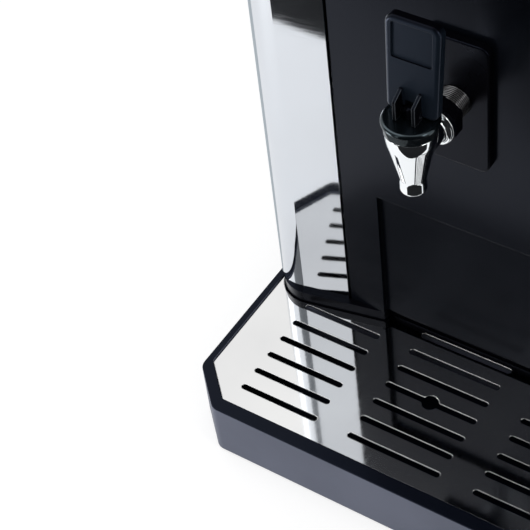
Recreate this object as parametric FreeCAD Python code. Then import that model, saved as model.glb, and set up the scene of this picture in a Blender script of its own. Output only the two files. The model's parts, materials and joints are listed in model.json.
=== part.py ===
import FreeCAD, Part
import math
import os

# Countertop electric water boiler: a polished steel casing whose front wings recede to a black
# moulded panel, a self-closing lever tap, and a drip tray with a slotted steel grille.
# Millimetres, +Z up, the front faces -Y. The origin lies on the table, at the middle of the
# machine's outline in plan.

V = FreeCAD.Vector
ORIGIN = V(0, 0, 0)
ALONG_X = V(1, 0, 0)
ALONG_Z = V(0, 0, 1)

# Overall sizes
WIDTH = 311.0                # casing and drip tray, side to side
HEIGHT = 537.0               # table to the top of the lid
BODY_DEPTH = 330.0           # front panel's face to the rear cover's face
TRAY_REACH = 125.0           # drip tray, forward of the panel's face
INLET_REACH = 25.0           # inlet thread, behind the rear cover's face
SHEET = 1.2                  # thickness of the casing's steel sheet
SEAM = 0.3                   # gap left between parts that meet but don't touch
FIT = 0.05                   # radial play of threads and push fits
RUNNING_FIT = 0.06           # radial play of parts that turn
PAST = 1.0                   # how far a cut runs past the face that it opens

# Places worked out from the overall sizes
HALF = WIDTH / 2
Y_FRONT = -(TRAY_REACH + BODY_DEPTH + INLET_REACH) / 2
Y_PANEL = Y_FRONT + TRAY_REACH
Y_REAR = Y_PANEL + BODY_DEPTH

# Casing in plan
PANEL_HALF = 92.0            # half the width between the wings
WING_ANGLE = 11.0            # how much each wing turns away from the panel's plane
WING_PROUD = 1.5             # wing's inner edge, forward of the panel
CORNER_RADIUS = 25.0         # casing's front corners
REAR_RADIUS = 12.0           # casing's rear corners
FLANGE = 14.0                # folded edges of the sheet
REAR_FLANGE = 24.0           # rear returns that carry the rear cover
REAR_LIP = 8.0               # sheet left above and below the rear opening
LID_HEIGHT = 14.0
LID_ROUND = 4.0
LID_SKIRT = 8.0              # locating skirt below the lid

# Rear cover
COVER_GAP = 2.0              # cover's edges, inside the casing's
COVER_ROUND = 3.0
VENT_LENGTH = 70.0
VENT_WIDTH = 5.0
VENT_PITCH = 14.0
VENT_SIDE = 70.0             # middle of each vent column, from the machine's middle
VENT_DROP = 111.0            # top vent, below the lid
VENT_ROWS = 9
SCREW_RADIUS = 2.0
SCREW_LENGTH = 8.0
SCREW_HEAD = 2.2
SCREW_SLOT = 0.9
SCREW_INSET = 5.0            # screws, in from the edge of the rear returns
SCREW_END = 20.0             # end screws, from the plinth and the lid
SCREW_PLAY = 0.2

# Plinth that carries the machine
FOOT_HEIGHT = 4.0
FOOT_RADIUS = 14.0
FOOT_TAPER = 2.0
FOOT_PLUG = 5.0              # radius of the plug that holds a foot in the floor
FOOT_PLAY = 0.1
FOOT_INSET = 36.0            # feet, in from the sides and the rear
FOOT_SETBACK = 34.0          # front feet, behind the panel
PLINTH_TOP = 52.0
PLINTH_PROUD = 3.4           # plinth's front, forward of the wings
PLINTH_RADIUS = 22.0
PLINTH_WALL = 3.0
PLINTH_REAR_GAP = 6.0        # plinth's back, inside the rear cover's face
FLOOR_VENTS = 7
FLOOR_VENT = 90.0            # length of the floor's vents

# Drip tray and grille
GRILLE_TOP = 43.0
GRILLE_SHEET = 1.2
GRILLE_GAP = 0.5             # play between the grille and its recess
GRILLE_HEEL = 0.59           # rounding of the rear edge that the grille tilts on
TRAY_BOTTOM = 1.0
TRAY_GAP = 0.6               # play between the tray and the plinth
TRAY_WALL = 2.5
TRAY_FLOOR = 5.0             # underside of the basin's floor
TRAY_ARM = 14.0              # how far the arms run back beside the plinth
TRAY_ROUND = 9.0             # tray's front corners in plan
TRAY_END = 1.5               # rounding of the arms' ends
RIM_PROUD = 1.6              # rim above the grille
RIM_SIDE = 4.8
RIM_FRONT = 10.4
RIM_ROUND = 0.8              # rounding of the rim's outer edge
RECESS_ROUND = 3.0           # recess's front corners in plan
OUTER_CHAMFER = 28.5         # legs of the tray's cut-off corners
INNER_CHAMFER = 25.0         # legs of the grille's cut-off corners
LEDGE = 3.0                  # ledge that the grille lies on
STUD_RADIUS = 5.0            # studs that the tray stands on
STUD_SIDE = 40.0             # studs, in from the tray's sides
STUD_FRONT = 20.0            # front studs, behind the tray's front
STUD_REAR = 30.0             # rear studs, in front of the panel
SLOT_PITCH = 16.5
SLOT_WIDTH = 4.4
SIDE_SLOT = 61.0             # length of the slots in the side columns
MIDDLE_SLOT = 70.0           # length of the slots in the middle column
SLOT_SPACE = 24.7            # gap between the columns
SIDE_ROWS = 6
MIDDLE_ROWS = 7
FIRST_ROW = 27.5             # centre of the first row, behind the tray's front
FINGER_HOLE = 6.0            # radius of the hole that lifts the grille
FINGER_ROW = 3

# Front panel
PANEL_WALL = 3.0
PANEL_RETURN = 16.0
PANEL_ROUND = 1.2
NICHE_HALF = 64.0
NICHE_HEIGHT = 115.0
NICHE_DEPTH = 4.1
NICHE_FOOT = 9.0             # plinth's setback under the niche

# Tap
TAP_REACH = 56.5             # tap's axis, forward of the panel
SPOUT_CLEAR = 212.0          # spout's lip above the grille
SPOUT_RADIUS = 8.25
SPOUT_STRAIGHT = 10.0
SPOUT_LIP = 2.2              # rounding of the spout's lip
SPOUT_BLEND = 14.0           # radius that blends the straight end into the cone
SPOUT_BORE = 5.6
CONE_TOP_RADIUS = 15.6
CONE_HEIGHT = 38.0
SHOULDER = 5.5               # height over which the cone turns upright under the bonnet
SHOULDER_BLEND = 40.0
NECK_RADIUS = 14.4
NECK_HEIGHT = 4.6
NECK_WALL = 2.2
NECK_ROUND = 0.5
CONE_EDGE = 0.6              # rounding of the cone's upper edge
VALVE_WALL = 2.7
CHAMBER_RISE = 30.4          # chamber's widest place, above the spout's straight end
SEAT_HEIGHT = 19.0           # valve seat above the spout's lip
SEAT_BORE = 4.8
SEAT_STEP = 2.0              # steps between the outlet's bores
SHANK_HEIGHT = 29.0          # shank's axis above the spout's lip
SHANK_RADIUS = 10.4
SHANK_BORE = 5.0
SHANK_INSIDE = 26.0          # shank's length behind the panel's face
SHANK_END = 0.8
BRANCH_RADIUS = 9.6
BRANCH_BLEND = 3.0
COLLAR_RADIUS = 13.4
COLLAR_THICK = 4.5
COLLAR_ROUND = 1.2
COLLAR_END = 28.4            # from the tap's axis
JAM_NUT_ACROSS = 24.4
JAM_NUT_THICK = 8.8
WASHER_RADIUS = 16.0
WASHER_THICK = 2.0
LOCKNUT_ACROSS = 27.0
LOCKNUT_THICK = 6.0
BACKPLATE_WIDTH = 44.6
BACKPLATE_HEIGHT = 97.0
BACKPLATE_DROP = 3.4         # plate's middle, below the shank's axis
BACKPLATE_THICK = 5.8
BACKPLATE_ROUND = 6.0
BACKPLATE_EDGE = 1.2
BACKPLATE_WALL = 2.4
BACKPLATE_BOSS = 5.0         # wall round the shank's hole

# Bonnet, stem and valve
BONNET_RADIUS = 17.4
BONNET_LOW_RADIUS = 16.3
BONNET_ACROSS = 31.2
BONNET_HEIGHT = 9.0
BONNET_ROOF = 4.2
BONNET_RIM = 2.4              # round part above the flats
BONNET_EDGE = 2.2
BONNET_FOOT = 0.5            # rounding of its lower edge
BONNET_LIFT = 0.15           # bonnet above the cone's top
STEM_RADIUS = 3.0
STEM_PLAY = 0.08
STEM_ABOVE_PIN = 3.4
STEM_ROUND = 1.4
STEM_FOOT = 1.5              # stem's lower end, above the seat
PIN_RADIUS = 1.5
PIN_HEIGHT = 4.0             # lever pin above the bonnet
PIN_INSET = 0.1              # lever pin's ends, in from the ribs' outer faces
CUP_RADIUS = 6.9
CUP_HEIGHT = 8.0
CUP_LIFT = 0.1               # cup above the metal seat
CUP_SEAL = 2.2               # height of the sealing ring
CUP_RIM = 1.5
CUP_WAIST = 1.4
CUP_LIP = 1.0
CUP_ROUND = 0.5
SPRING_RADIUS = 5.4
SPRING_WIRE = 0.6
SPRING_TURNS = 5.0

# Tap lever
LEVER_WIDTH = 35.4
LEVER_HEIGHT = 63.4
LEVER_TAPER = 1.4            # how much each side draws in towards the foot
LEVER_THICK = 6.5
LEVER_TILT = 4.4             # degrees that the paddle leans back
LEVER_FACE = 0.4             # paddle's front, behind the tap's axis
LEVER_ROUND = 6.0
LEVER_CORNER = 4.0           # rounding of the paddle's lower corners
LEVER_EDGE = 2.4
LEVER_STEP = 0.4             # paddle's foot, above the ribs'
LEVER_FOOT = 7.5             # ribs' front, forward of the tap's axis
LEVER_HEEL = 0.8             # rounding of the ribs' foot, which the lever turns on
LEVER_LIFT = 0.3             # gap under the lever
RIB_SPACING = 12.4
RIB_THICK = 2.0
RIB_HEIGHT = 13.3
RIB_RUN = 17.5               # height at which the ribs meet the paddle
RIB_NOSE = 1.0
TRACK_RUN = 2.9              # how far the pin runs along its slot
TRACK_RISE = 0.06            # middle of the slot above the pin at rest
TRACK_PLAY = 0.35
FORK_PLAY = 0.8              # gap beside the stem
FORK_ABOVE_PIN = 6.0
PAD_WIDTH = 26.0             # square recess for the fingers
PAD_HEIGHT = 24.0
PAD_TOP = 3.4
PAD_DEPTH = 1.3
PAD_ROUND = 1.5

# Control area
SWITCH_DROP = 85.0           # middle of the switch, below the lid's top
SWITCH_WIDTH = 22.0
SWITCH_HEIGHT = 28.0
SWITCH_RIM = 1.8
SWITCH_CORNER = 2.0
SWITCH_EDGE = 0.8
SWITCH_DEPTH = 24.0
SWITCH_WALL = 2.0
SWITCH_WELL = 13.0           # depth of the rocker's well
ROCKER_TILT = 8.0
ROCKER_PIVOT = 1.5           # radius of the stub pivots
ROCKER_PLAY = 0.4
ROCKER_STUB = 1.0            # length of the stub pivots
ROCKER_END = 1.6             # gap above and below the rocker
ROCKER_SET = 6.0             # pivot, behind the panel's face
ROCKER_FACE = 7.0            # rocker's face at its middle, in front of the pivot
ROCKER_HORN = 8.2            # rocker's face at its ends, in front of the pivot
ROCKER_BACK = 2.0
ROCKER_HEEL = 3.5
ROCKER_ROUND = 1.0
LIGHTS_DROP = 43.0           # status lights, below the lid's top
LIGHT_SPACING = 26.0
LIGHT_RADIUS = 3.0
LIGHT_PLAY = 0.1
LIGHT_PROUD = 1.2
LIGHT_DOME = 1.0
LIGHT_FLANGE = 1.2
LIGHT_BASE = 1.5
LIGHT_COUNT = 3
LAMP_RADIUS = 2.4
LAMP_HEIGHT = 5.0
BOARD = 1.6                  # thickness of the circuit boards
BOARD_HALF = 9.0             # half the height of the status board
BOARD_ROUND = 1.0
POST_RADIUS = 2.2
POST_INSET = 4.0
PLUG_HALF = 8.0
PLUG_DEPTH = 7.0

# Blade terminals
BLADE_WIDTH = 6.3
BLADE_THICK = 0.8
BLADE_LENGTH = 8.0
BLADE_SPREAD = 6.0           # blades, from the middle of their pair

# Tank
TANK_RADIUS = 105.0
TANK_WALL = 1.2
TANK_BOTTOM = 142.0
TANK_HEADROOM = 75.0         # tank's flange, below the lid's top
TANK_Y = 56.0
TANK_BEND = 10.0
TANK_RIM = 9.0               # width of the tank's flange
TANK_SEAL = 3.0
DOME_RISE = 10.0
DOME_SLOPE = 18.0            # dome's flat top, inside the tank's wall
DOME_FOOT = 4.0              # dome's foot, inside the tank's wall
JACKET_THICK = 12.0
JACKET_GAP = 0.3
JACKET_END = 10.0            # tank left bare above and below the jacket
STAND_SHEET = 3.0
STAND_LEG = 26.0
STAND_INSET = 8.0            # stand's ring, inside the tank's wall
STAND_HOLE = 62.0
LEG_INSET = 12.0
STAND_SHOE = 16.0
LID_BOLTS = 8
BOLT_RADIUS = 2.0
BOLT_PLAY = 0.1
BOLT_INSET = 3.6
BOLT_ACROSS = 7.0
BOLT_HEAD = 3.0
BOLT_NUT = 3.2
BOLT_TAIL = 5.0
PORT_X = 50.0                # lid's ports, from the tank's axis
PORT_Y = 48.0
SPIGOT_RISE = 14.0
SPIGOT_WALL = 1.2
PROBE_X = 22.0
PROBE_Y = 30.0
MIDDLE_PROBE_Y = 40.0
PROBE_RADIUS = 4.0
PROBE_ACROSS = 14.0
PROBE_NUT = 5.0
PROBE_ROOT = 6.0
PROBE_NEEDLE = 1.6
PROBE_TAIL = 14.0
HIGH_PROBE = 60.0            # depths of the level probes below the lid's roof
MIDDLE_PROBE = 96.0
LOW_PROBE = 150.0
SENSOR_Y = 10.0
SENSOR_DEPTH = 120.0
SENSOR_TAIL = 16.0
SENSOR_LEAD = 2.5

# Heating element
ELEMENT_THREAD = 20.0        # radius of the boss through the tank's bottom
ELEMENT_ACROSS = 50.0
ELEMENT_NUT = 8.0
ELEMENT_BOSS = 14.0
ELEMENT_FLANGE = 26.0
ELEMENT_SEAT = 3.0
LOOP_RADIUS = 4.0
LOOP_BEND = 12.0
LOOP_RISE = 34.0
LOOP_SIDE = 12.0             # where each loop leaves the boss
LOOP_REACH = 62.0
LOOP_BACK = 34.0
LOOP_GAP = 8.0

# Hose from the tank to the tap
OUTLET_RADIUS = 7.0
OUTLET_STUB = 6.0            # stub, in front of the jacket
OUTLET_ROOT = 5.0
OUTLET_GAP = 1.0             # gap round the stub in the jacket
HOSE_PLAY = 0.1
HOSE_WALL = 3.0
HOSE_GAP = 0.3
CLIP_WIDTH = 8.0
CLIP_BAND = 0.8
CLIP_INSET = 3.0
CLIP_SCREW = 10.0
CLIP_SCREW_HEIGHT = 6.0
CLIP_EDGE = 1.5

# Overheat cut-out
CUTOUT_Z = 200.0
CUTOUT_RADIUS = 12.0
CUTOUT_BASE = 14.0           # back of its body, in front of the rear cover's face
BRIDGE_SET = 14.0            # bridge with the blades, in front of the body's back
BRIDGE_WIDTH = 28.0
BRIDGE_HEIGHT = 8.0
BRIDGE_THICK = 4.0
RESET_PLAY = 0.1
LIP_PLAY = 0.2
RESET_RADIUS = 3.5
RESET_TRAVEL = 2.0
RESET_LIP = 1.1              # shoulder that keeps the button in
RESET_SHOULDER = 1.4
RESET_POCKET = 4.0
RESET_WALL = 2.5
RESET_COLLAR = 3.0           # collar, behind the rear cover's face
RESET_PROUD = 2.5            # button, beyond its collar
RESET_ROUND = 0.8

# Water inlet, overflow and mains entry
INLET_X = -95.0
INLET_Z = 92.0
INLET_RADIUS = 13.2          # three-quarter-inch thread
INLET_RELIEF = 1.2           # how far the neck is turned down below the thread
INLET_NECK = 3.0             # neck, behind the rear cover's face
INLET_BORE = 8.0
INLET_BORE_DEPTH = 20.0
INLET_LIP = 5.0
VALVE_RADIUS = 12.0
VALVE_LENGTH = 52.0          # valve's body, in front of the rear cover's face
VALVE_END = 6.0
COIL_SEAT_RADIUS = 10.0
COIL_SEAT = 14.0
CHIMNEY_SETBACK = 40.0
CHIMNEY_RADIUS = 9.0
CHIMNEY_HEIGHT = 18.0
CHIMNEY_SPIGOT = 16.0
COIL_WIDTH = 28.0
COIL_HEIGHT = 32.0
COIL_DEPTH = 24.0
COIL_ROUND = 3.0
OVERFLOW_X = 95.0
OVERFLOW_PIPE = 7.6          # outer radius of the pipe
OVERFLOW_SPIGOT = 8.0        # outer radius of its end, for a drain hose
OVERFLOW_BORE = 6.4
OVERFLOW_REACH = 18.0
OVERFLOW_NECK = 3.0
OVERFLOW_BEND = 18.0
OVERFLOW_DROP = 34.0         # downpipe, in front of the rear cover's face
FILL_RADIUS = 6.0
FILL_BORE = 4.0
FILL_BEND = 16.0
HOSE_RISE = 20.0             # hoses turn this high above the lid's spigots
GLAND_Z = 86.0
GLAND_RADIUS = 10.0
GLAND_BORE = 4.5
GLAND_REACH = 14.0
GLAND_ACROSS = 24.0
GLAND_NUT = 5.0
GLAND_INSIDE = 10.0
GLAND_CAP = 11.0
GLAND_ROUND = 3.5

# Power board and mains terminals
POWER_HALF_X = 52.0
POWER_HALF_Y = 38.0
POWER_LIFT = 10.0
POWER_ROUND = 2.0
POWER_POST = 3.0
POWER_INSET = 5.0
PARTS_INSET = 10.0           # board's parts, in from its edges
RELAY_WIDTH = 28.0
RELAY_DEPTH = 15.0
RELAY_HEIGHT = 16.0
TRANSFORMER_WIDTH = 32.0
TRANSFORMER_DEPTH = 28.0
TRANSFORMER_HEIGHT = 26.0
STRIP_WIDTH = 40.0
STRIP_DEPTH = 12.0
STRIP_HEIGHT = 11.0
CAPACITOR_RADIUS = 5.0
CAPACITOR_HEIGHT = 14.0
CAPACITOR_X = 22.0           # middle of the pair, left of the board's middle
CAPACITOR_Y = 20.0
CAPACITOR_HALF = 8.0         # half the capacitors' spacing
TERMINAL_WIDTH = 44.0
TERMINAL_DEPTH = 18.0
TERMINAL_HEIGHT = 18.0
TERMINAL_PITCH = 14.0
TERMINAL_SETBACK = 40.0
TERMINAL_SCREW = 3.0
TERMINAL_WIRE = 2.2
TERMINAL_WELL = 8.0
TERMINAL_WIRE_Z = 7.0

# Places of the tap, worked out from the sizes above
TAP_Y = Y_PANEL - TAP_REACH
LIP_Z = GRILLE_TOP + SPOUT_CLEAR
CORNER_Z = LIP_Z + SPOUT_STRAIGHT
SEAT_Z = LIP_Z + SEAT_HEIGHT
SHANK_Z = LIP_Z + SHANK_HEIGHT
BONNET_Z = CORNER_Z + CONE_HEIGHT
SHOULDER_Z = BONNET_Z - SHOULDER
NECK_TOP = BONNET_Z + NECK_HEIGHT
BONNET_TOP = BONNET_Z + BONNET_HEIGHT
PIN_Z = BONNET_TOP + PIN_HEIGHT
LEVER_Z = BONNET_TOP + LEVER_LIFT

# Other places worked out from the sizes above
PANEL_BOTTOM = PLINTH_TOP + SEAM
FLOOR_TOP = FOOT_HEIGHT + PLINTH_WALL
LID_Z = HEIGHT - LID_HEIGHT
SWITCH_Z = HEIGHT - SWITCH_DROP
LIGHTS_Z = HEIGHT - LIGHTS_DROP
LEDGE_Z = GRILLE_TOP - GRILLE_SHEET
RIM_TOP = GRILLE_TOP + RIM_PROUD
TANK_TOP = HEIGHT - TANK_HEADROOM
LID_SEAT = TANK_TOP + TANK_SEAL
LID_ROOF = LID_SEAT + TANK_WALL + DOME_RISE
HOSE_TURN = LID_ROOF + SPIGOT_RISE + HOSE_RISE
OUTLET_FRONT = TANK_Y - TANK_RADIUS - JACKET_THICK - OUTLET_STUB
CHIMNEY_Y = Y_REAR - CHIMNEY_SETBACK


def block(x0, x1, y0, y1, z0, z1):
    """A box between two corners."""
    return Part.makeBox(x1 - x0, y1 - y0, z1 - z0, V(x0, y0, z0))


def bar(middle, size):
    """A box round its middle point."""
    half = V(*size) / 2
    return Part.makeBox(*size, V(*middle) - half)


def rod(radius, start, end):
    """A round bar from one point to another."""
    axis = V(*end) - V(*start)
    return Part.makeCylinder(radius, axis.Length, V(*start), axis)


def pipe(outer, inner, start, end):
    """A straight tube from one point to another."""
    return rod(outer, start, end).cut(rod(inner, start, end))


def join(first, *others):
    """One solid from several that touch or overlap."""
    return first.fuse(list(others)).removeSplitter()


def mirrored(shape):
    """The same shape on the machine's other side."""
    return shape.mirror(ORIGIN, ALONG_X)


def rectangle(x0, x1, y0, y1, radius=0.0):
    """Corners of a rectangle, counter-clockwise, each with its radius."""
    return [(x0, y0, radius), (x1, y0, radius), (x1, y1, radius), (x0, y1, radius)]


def slot_shape(x, y, length, width):
    """Corners of a slot with round ends that runs along the first axis."""
    radius = width / 2 - 0.001
    return rectangle(x - length / 2, x + length / 2, y - width / 2, y + width / 2, radius)


def inset(corners, distance):
    """Moves each edge of a counter-clockwise outline inwards by a distance."""
    moved = []
    for i, (x, y, radius) in enumerate(corners):
        before = corners[i - 1]
        after = corners[(i + 1) % len(corners)]
        a = V(x - before[0], y - before[1], 0).normalize()
        b = V(after[0] - x, after[1] - y, 0).normalize()
        inward = V(-a.y - b.y, a.x + b.x, 0) * (distance / (1 + a.dot(b)))
        outer_corner = a.x * b.y - a.y * b.x > 0
        grown = radius - distance if outer_corner else radius + distance
        moved.append((x + inward.x, y + inward.y, max(grown, 0.0) if radius > 0 else 0.0))
    return moved


def bend(before, corner, after, radius):
    """Start, middle and end of the tangent arc that rounds a corner."""
    back = (before - corner).normalize()
    ahead = (after - corner).normalize()
    half = back.getAngle(ahead) / 2
    reach = radius / math.tan(half)
    toward = (back + ahead).normalize()
    middle = corner + toward * (radius / math.sin(half) - radius)
    return corner + back * reach, middle, corner + ahead * reach


def outline(corners, z=0.0):
    """A closed wire of straight edges, with a tangent arc at each corner that has a radius."""
    points = [V(x, y, z) for x, y, radius in corners]
    bends = []
    for i, (x, y, radius) in enumerate(corners):
        if radius < 0.01:
            bends.append((points[i], None, points[i]))
        else:
            after = points[(i + 1) % len(points)]
            bends.append(bend(points[i - 1], points[i], after, radius))
    edges = []
    for i, (start, middle, end) in enumerate(bends):
        if middle is not None:
            edges.append(Part.Arc(start, middle, end).toShape())
        following = bends[(i + 1) % len(bends)][0]
        if (following - end).Length > 0.001:
            edges.append(Part.makeLine(end, following))
    return Part.Wire(edges)


def prism(corners, z0, z1):
    """An upright solid on an outline in plan."""
    return Part.Face(outline(corners, z0)).extrude(V(0, 0, z1 - z0))


def facing(corners, y0, y1):
    """A solid on an outline of (x, z) corners, from one depth to another."""
    solid = prism(corners, -y1, -y0)
    solid.rotate(ORIGIN, ALONG_X, 90)
    return solid


def sideways(corners, x0, x1):
    """A solid on an outline of (y, z) corners, from one side position to another."""
    solid = prism(corners, x0, x1)
    solid.rotate(ORIGIN, V(1, 1, 1), 120)
    return solid


def turned(corners, x, y):
    """A solid turned about a vertical axis, from (radius, z) corners."""
    face = Part.Face(outline(corners))
    face.rotate(ORIGIN, ALONG_X, 90)
    solid = face.revolve(ORIGIN, ALONG_Z, 360)
    solid.translate(V(x, y, 0))
    return solid


def turned_back(corners, x, z):
    """A solid turned about an axis along Y, from (radius, y) corners."""
    solid = turned(corners, 0, 0)
    solid.rotate(ORIGIN, ALONG_X, -90)
    solid.translate(V(x, 0, z))
    return solid


def hexagon(x, y, across, first=30):
    """Corners of a hexagon, the first of them in a direction given in degrees."""
    radius = across / math.sqrt(3)
    angles = [math.radians(first + 60 * i) for i in range(6)]
    return [(x + radius * math.cos(a), y + radius * math.sin(a), 0.0) for a in angles]


def rounded_top(corners, z0, z1, radius):
    """An upright solid whose top edge is rounded."""
    solid = prism(corners, z0, z1)
    rim = [e for e in solid.Edges if e.BoundBox.ZMin > z1 - 0.01]
    return solid.makeFillet(radius, rim)


def rounded_front(corners, y0, y1, radius):
    """A solid on an outline of (x, z) corners whose front edge is rounded."""
    solid = facing(corners, y0, y1)
    rim = [e for e in solid.Edges if e.BoundBox.YMax < y0 + 0.01]
    return solid.makeFillet(radius, rim)


def bent_path(points, radius):
    """A wire through points, with each inner corner rounded."""
    corners = [V(*point) for point in points]
    edges = []
    start = corners[0]
    for i in range(1, len(corners) - 1):
        near, middle, far = bend(corners[i - 1], corners[i], corners[i + 1], radius)
        edges.append(Part.makeLine(start, near))
        edges.append(Part.Arc(near, middle, far).toShape())
        start = far
    edges.append(Part.makeLine(start, corners[-1]))
    return Part.Wire(edges)


def bent_rod(points, corner, radius):
    """A round bar along a rounded path."""
    start = V(*points[0])
    ring = Part.Wire(Part.makeCircle(radius, start, V(*points[1]) - start))
    return bent_path(points, corner).makePipeShell([ring], True, False)


def bent_tube(points, corner, outer, inner):
    """A tube along a rounded path."""
    return bent_rod(points, corner, outer).cut(bent_rod(points, corner, inner))


def wing_y(x, forward=0.0):
    """Depth of the wing's face at a distance from the middle, with a stand-off in front."""
    angle = math.radians(WING_ANGLE)
    fall = math.tan(angle) * (x - PANEL_HALF)
    return Y_PANEL - WING_PROUD - fall - forward / math.cos(angle)


def casing_plan():
    """The casing's outline, closed across the front between the wings."""
    rear = Y_REAR - SHEET
    return [
        (-PANEL_HALF, wing_y(PANEL_HALF), 0.0),
        (PANEL_HALF, wing_y(PANEL_HALF), 0.0),
        (HALF, wing_y(HALF), CORNER_RADIUS),
        (HALF, rear, REAR_RADIUS),
        (-HALF, rear, REAR_RADIUS),
        (-HALF, wing_y(HALF), CORNER_RADIUS),
    ]


def plinth_plan():
    """The plinth's outline, set back under the niche and between the tray's arms."""
    side = HALF - RIM_SIDE - TRAY_GAP
    rear = Y_REAR - PLINTH_REAR_GAP
    niche_y = wing_y(NICHE_HALF, PLINTH_PROUD)
    corner_y = wing_y(side, PLINTH_PROUD)
    back_y = Y_PANEL + NICHE_FOOT
    return [
        (-NICHE_HALF, niche_y, 0.0),
        (-NICHE_HALF, back_y, 0.0),
        (NICHE_HALF, back_y, 0.0),
        (NICHE_HALF, niche_y, 0.0),
        (side, corner_y, PLINTH_RADIUS),
        (side, rear, REAR_RADIUS),
        (-side, rear, REAR_RADIUS),
        (-side, corner_y, PLINTH_RADIUS),
    ]


def tray_plan():
    """The drip tray's outer outline, with cut-off front corners."""
    rear = Y_PANEL + TRAY_ARM
    return [
        (-HALF + OUTER_CHAMFER, Y_FRONT, TRAY_ROUND),
        (HALF - OUTER_CHAMFER, Y_FRONT, TRAY_ROUND),
        (HALF, Y_FRONT + OUTER_CHAMFER, TRAY_ROUND),
        (HALF, rear, TRAY_END),
        (-HALF, rear, TRAY_END),
        (-HALF, Y_FRONT + OUTER_CHAMFER, TRAY_ROUND),
    ]


def recess_plan():
    """The rim's inner outline, in which the grille lies."""
    side = HALF - RIM_SIDE
    front = Y_FRONT + RIM_FRONT
    rear = Y_PANEL + TRAY_ARM + TRAY_WALL
    return [
        (-side + INNER_CHAMFER, front, RECESS_ROUND),
        (side - INNER_CHAMFER, front, RECESS_ROUND),
        (side, front + INNER_CHAMFER, RECESS_ROUND),
        (side, rear, 0.0),
        (-side, rear, 0.0),
        (-side, front + INNER_CHAMFER, RECESS_ROUND),
    ]


def foot_places():
    """Where the four feet stand."""
    inset_x = HALF - FOOT_INSET
    front = Y_PANEL + FOOT_SETBACK
    rear = Y_REAR - FOOT_INSET
    return [(x, y) for x in (-inset_x, inset_x) for y in (front, rear)]


def base_plinth():
    plan = plinth_plan()
    shell = prism(plan, FOOT_HEIGHT, PLINTH_TOP)
    shell = shell.cut(prism(inset(plan, PLINTH_WALL), FLOOR_TOP, PLINTH_TOP + PAST))
    ledge = prism(inset(plan, PLINTH_WALL / 2), PLINTH_TOP - PLINTH_WALL, PLINTH_TOP)
    ledge = ledge.cut(prism(inset(plan, FLANGE), PLINTH_TOP - FLANGE, PLINTH_TOP + PAST))
    shell = join(shell, ledge)
    cuts = [rod(FOOT_PLUG + FOOT_PLAY, (x, y, 0), (x, y, FLOOR_TOP)) for x, y in foot_places()]
    for i in range(FLOOR_VENTS):
        y = TANK_Y + (i - (FLOOR_VENTS - 1) / 2) * VENT_PITCH
        vent = slot_shape(0, y, FLOOR_VENT, VENT_WIDTH)
        cuts.append(prism(vent, FOOT_HEIGHT - PAST, FLOOR_TOP + PAST))
    return shell.cut(Part.makeCompound(cuts))


def feet():
    solids = []
    for x, y in foot_places():
        profile = [
            (0, 0, 0), (FOOT_RADIUS - FOOT_TAPER, 0, 0), (FOOT_RADIUS, FOOT_HEIGHT, 0),
            (FOOT_PLUG, FOOT_HEIGHT, 0), (FOOT_PLUG, FLOOR_TOP, 0), (0, FLOOR_TOP, 0),
        ]
        solids.append(turned(profile, x, y))
    return Part.makeCompound(solids)


def body_wrap():
    """The casing's sheet, folded back beside the panel and under the machine's edge."""
    plan = casing_plan()
    low = PLINTH_TOP
    wrap = prism(plan, low, LID_Z).cut(prism(inset(plan, SHEET), low - PAST, LID_Z + PAST))
    front_gap = block(-PANEL_HALF, PANEL_HALF, Y_FRONT, Y_PANEL + FLANGE, 0, HEIGHT)
    rear_half = HALF - REAR_FLANGE
    rear_gap = block(-rear_half, rear_half, Y_REAR - FLANGE, Y_REAR + PAST,
                     low + REAR_LIP, LID_Z - REAR_LIP)
    wrap = wrap.cut(front_gap).cut(rear_gap)
    edge = PANEL_HALF + SHEET
    fold = block(PANEL_HALF, edge, wing_y(PANEL_HALF), Y_PANEL + FLANGE, low, LID_Z)
    foot = prism(plan, low, low + SHEET)
    foot = foot.cut(prism(inset(plan, FLANGE), low - PAST, low + SHEET + PAST)).cut(front_gap)
    return join(wrap, fold, mirrored(fold), foot).cut(rear_screw_holes())


def top_cover():
    """Pressed lid, with a locating skirt that stands inside the casing."""
    plan = casing_plan()
    outer = rounded_top(plan, LID_Z, HEIGHT, LID_ROUND)
    space = rounded_top(inset(plan, SHEET), LID_Z - PAST, HEIGHT - SHEET, LID_ROUND - SHEET)
    skirt_low = LID_Z - LID_SKIRT
    ring = prism(inset(plan, SHEET + SEAM), skirt_low, LID_Z + SHEET)
    ring = join(ring, prism(inset(plan, SHEET / 2), LID_Z, LID_Z + SHEET))
    ring = ring.cut(prism(inset(plan, 2 * SHEET + SEAM), skirt_low - PAST, HEIGHT))
    panel_half = PANEL_HALF + SHEET + SEAM
    ring = ring.cut(block(-panel_half, panel_half, Y_FRONT, Y_PANEL + FLANGE, 0, LID_Z))
    ring = ring.cut(block(-HALF, HALF, Y_REAR - 3 * SHEET, Y_REAR, 0, LID_Z))
    return join(outer.cut(space), ring)


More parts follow.
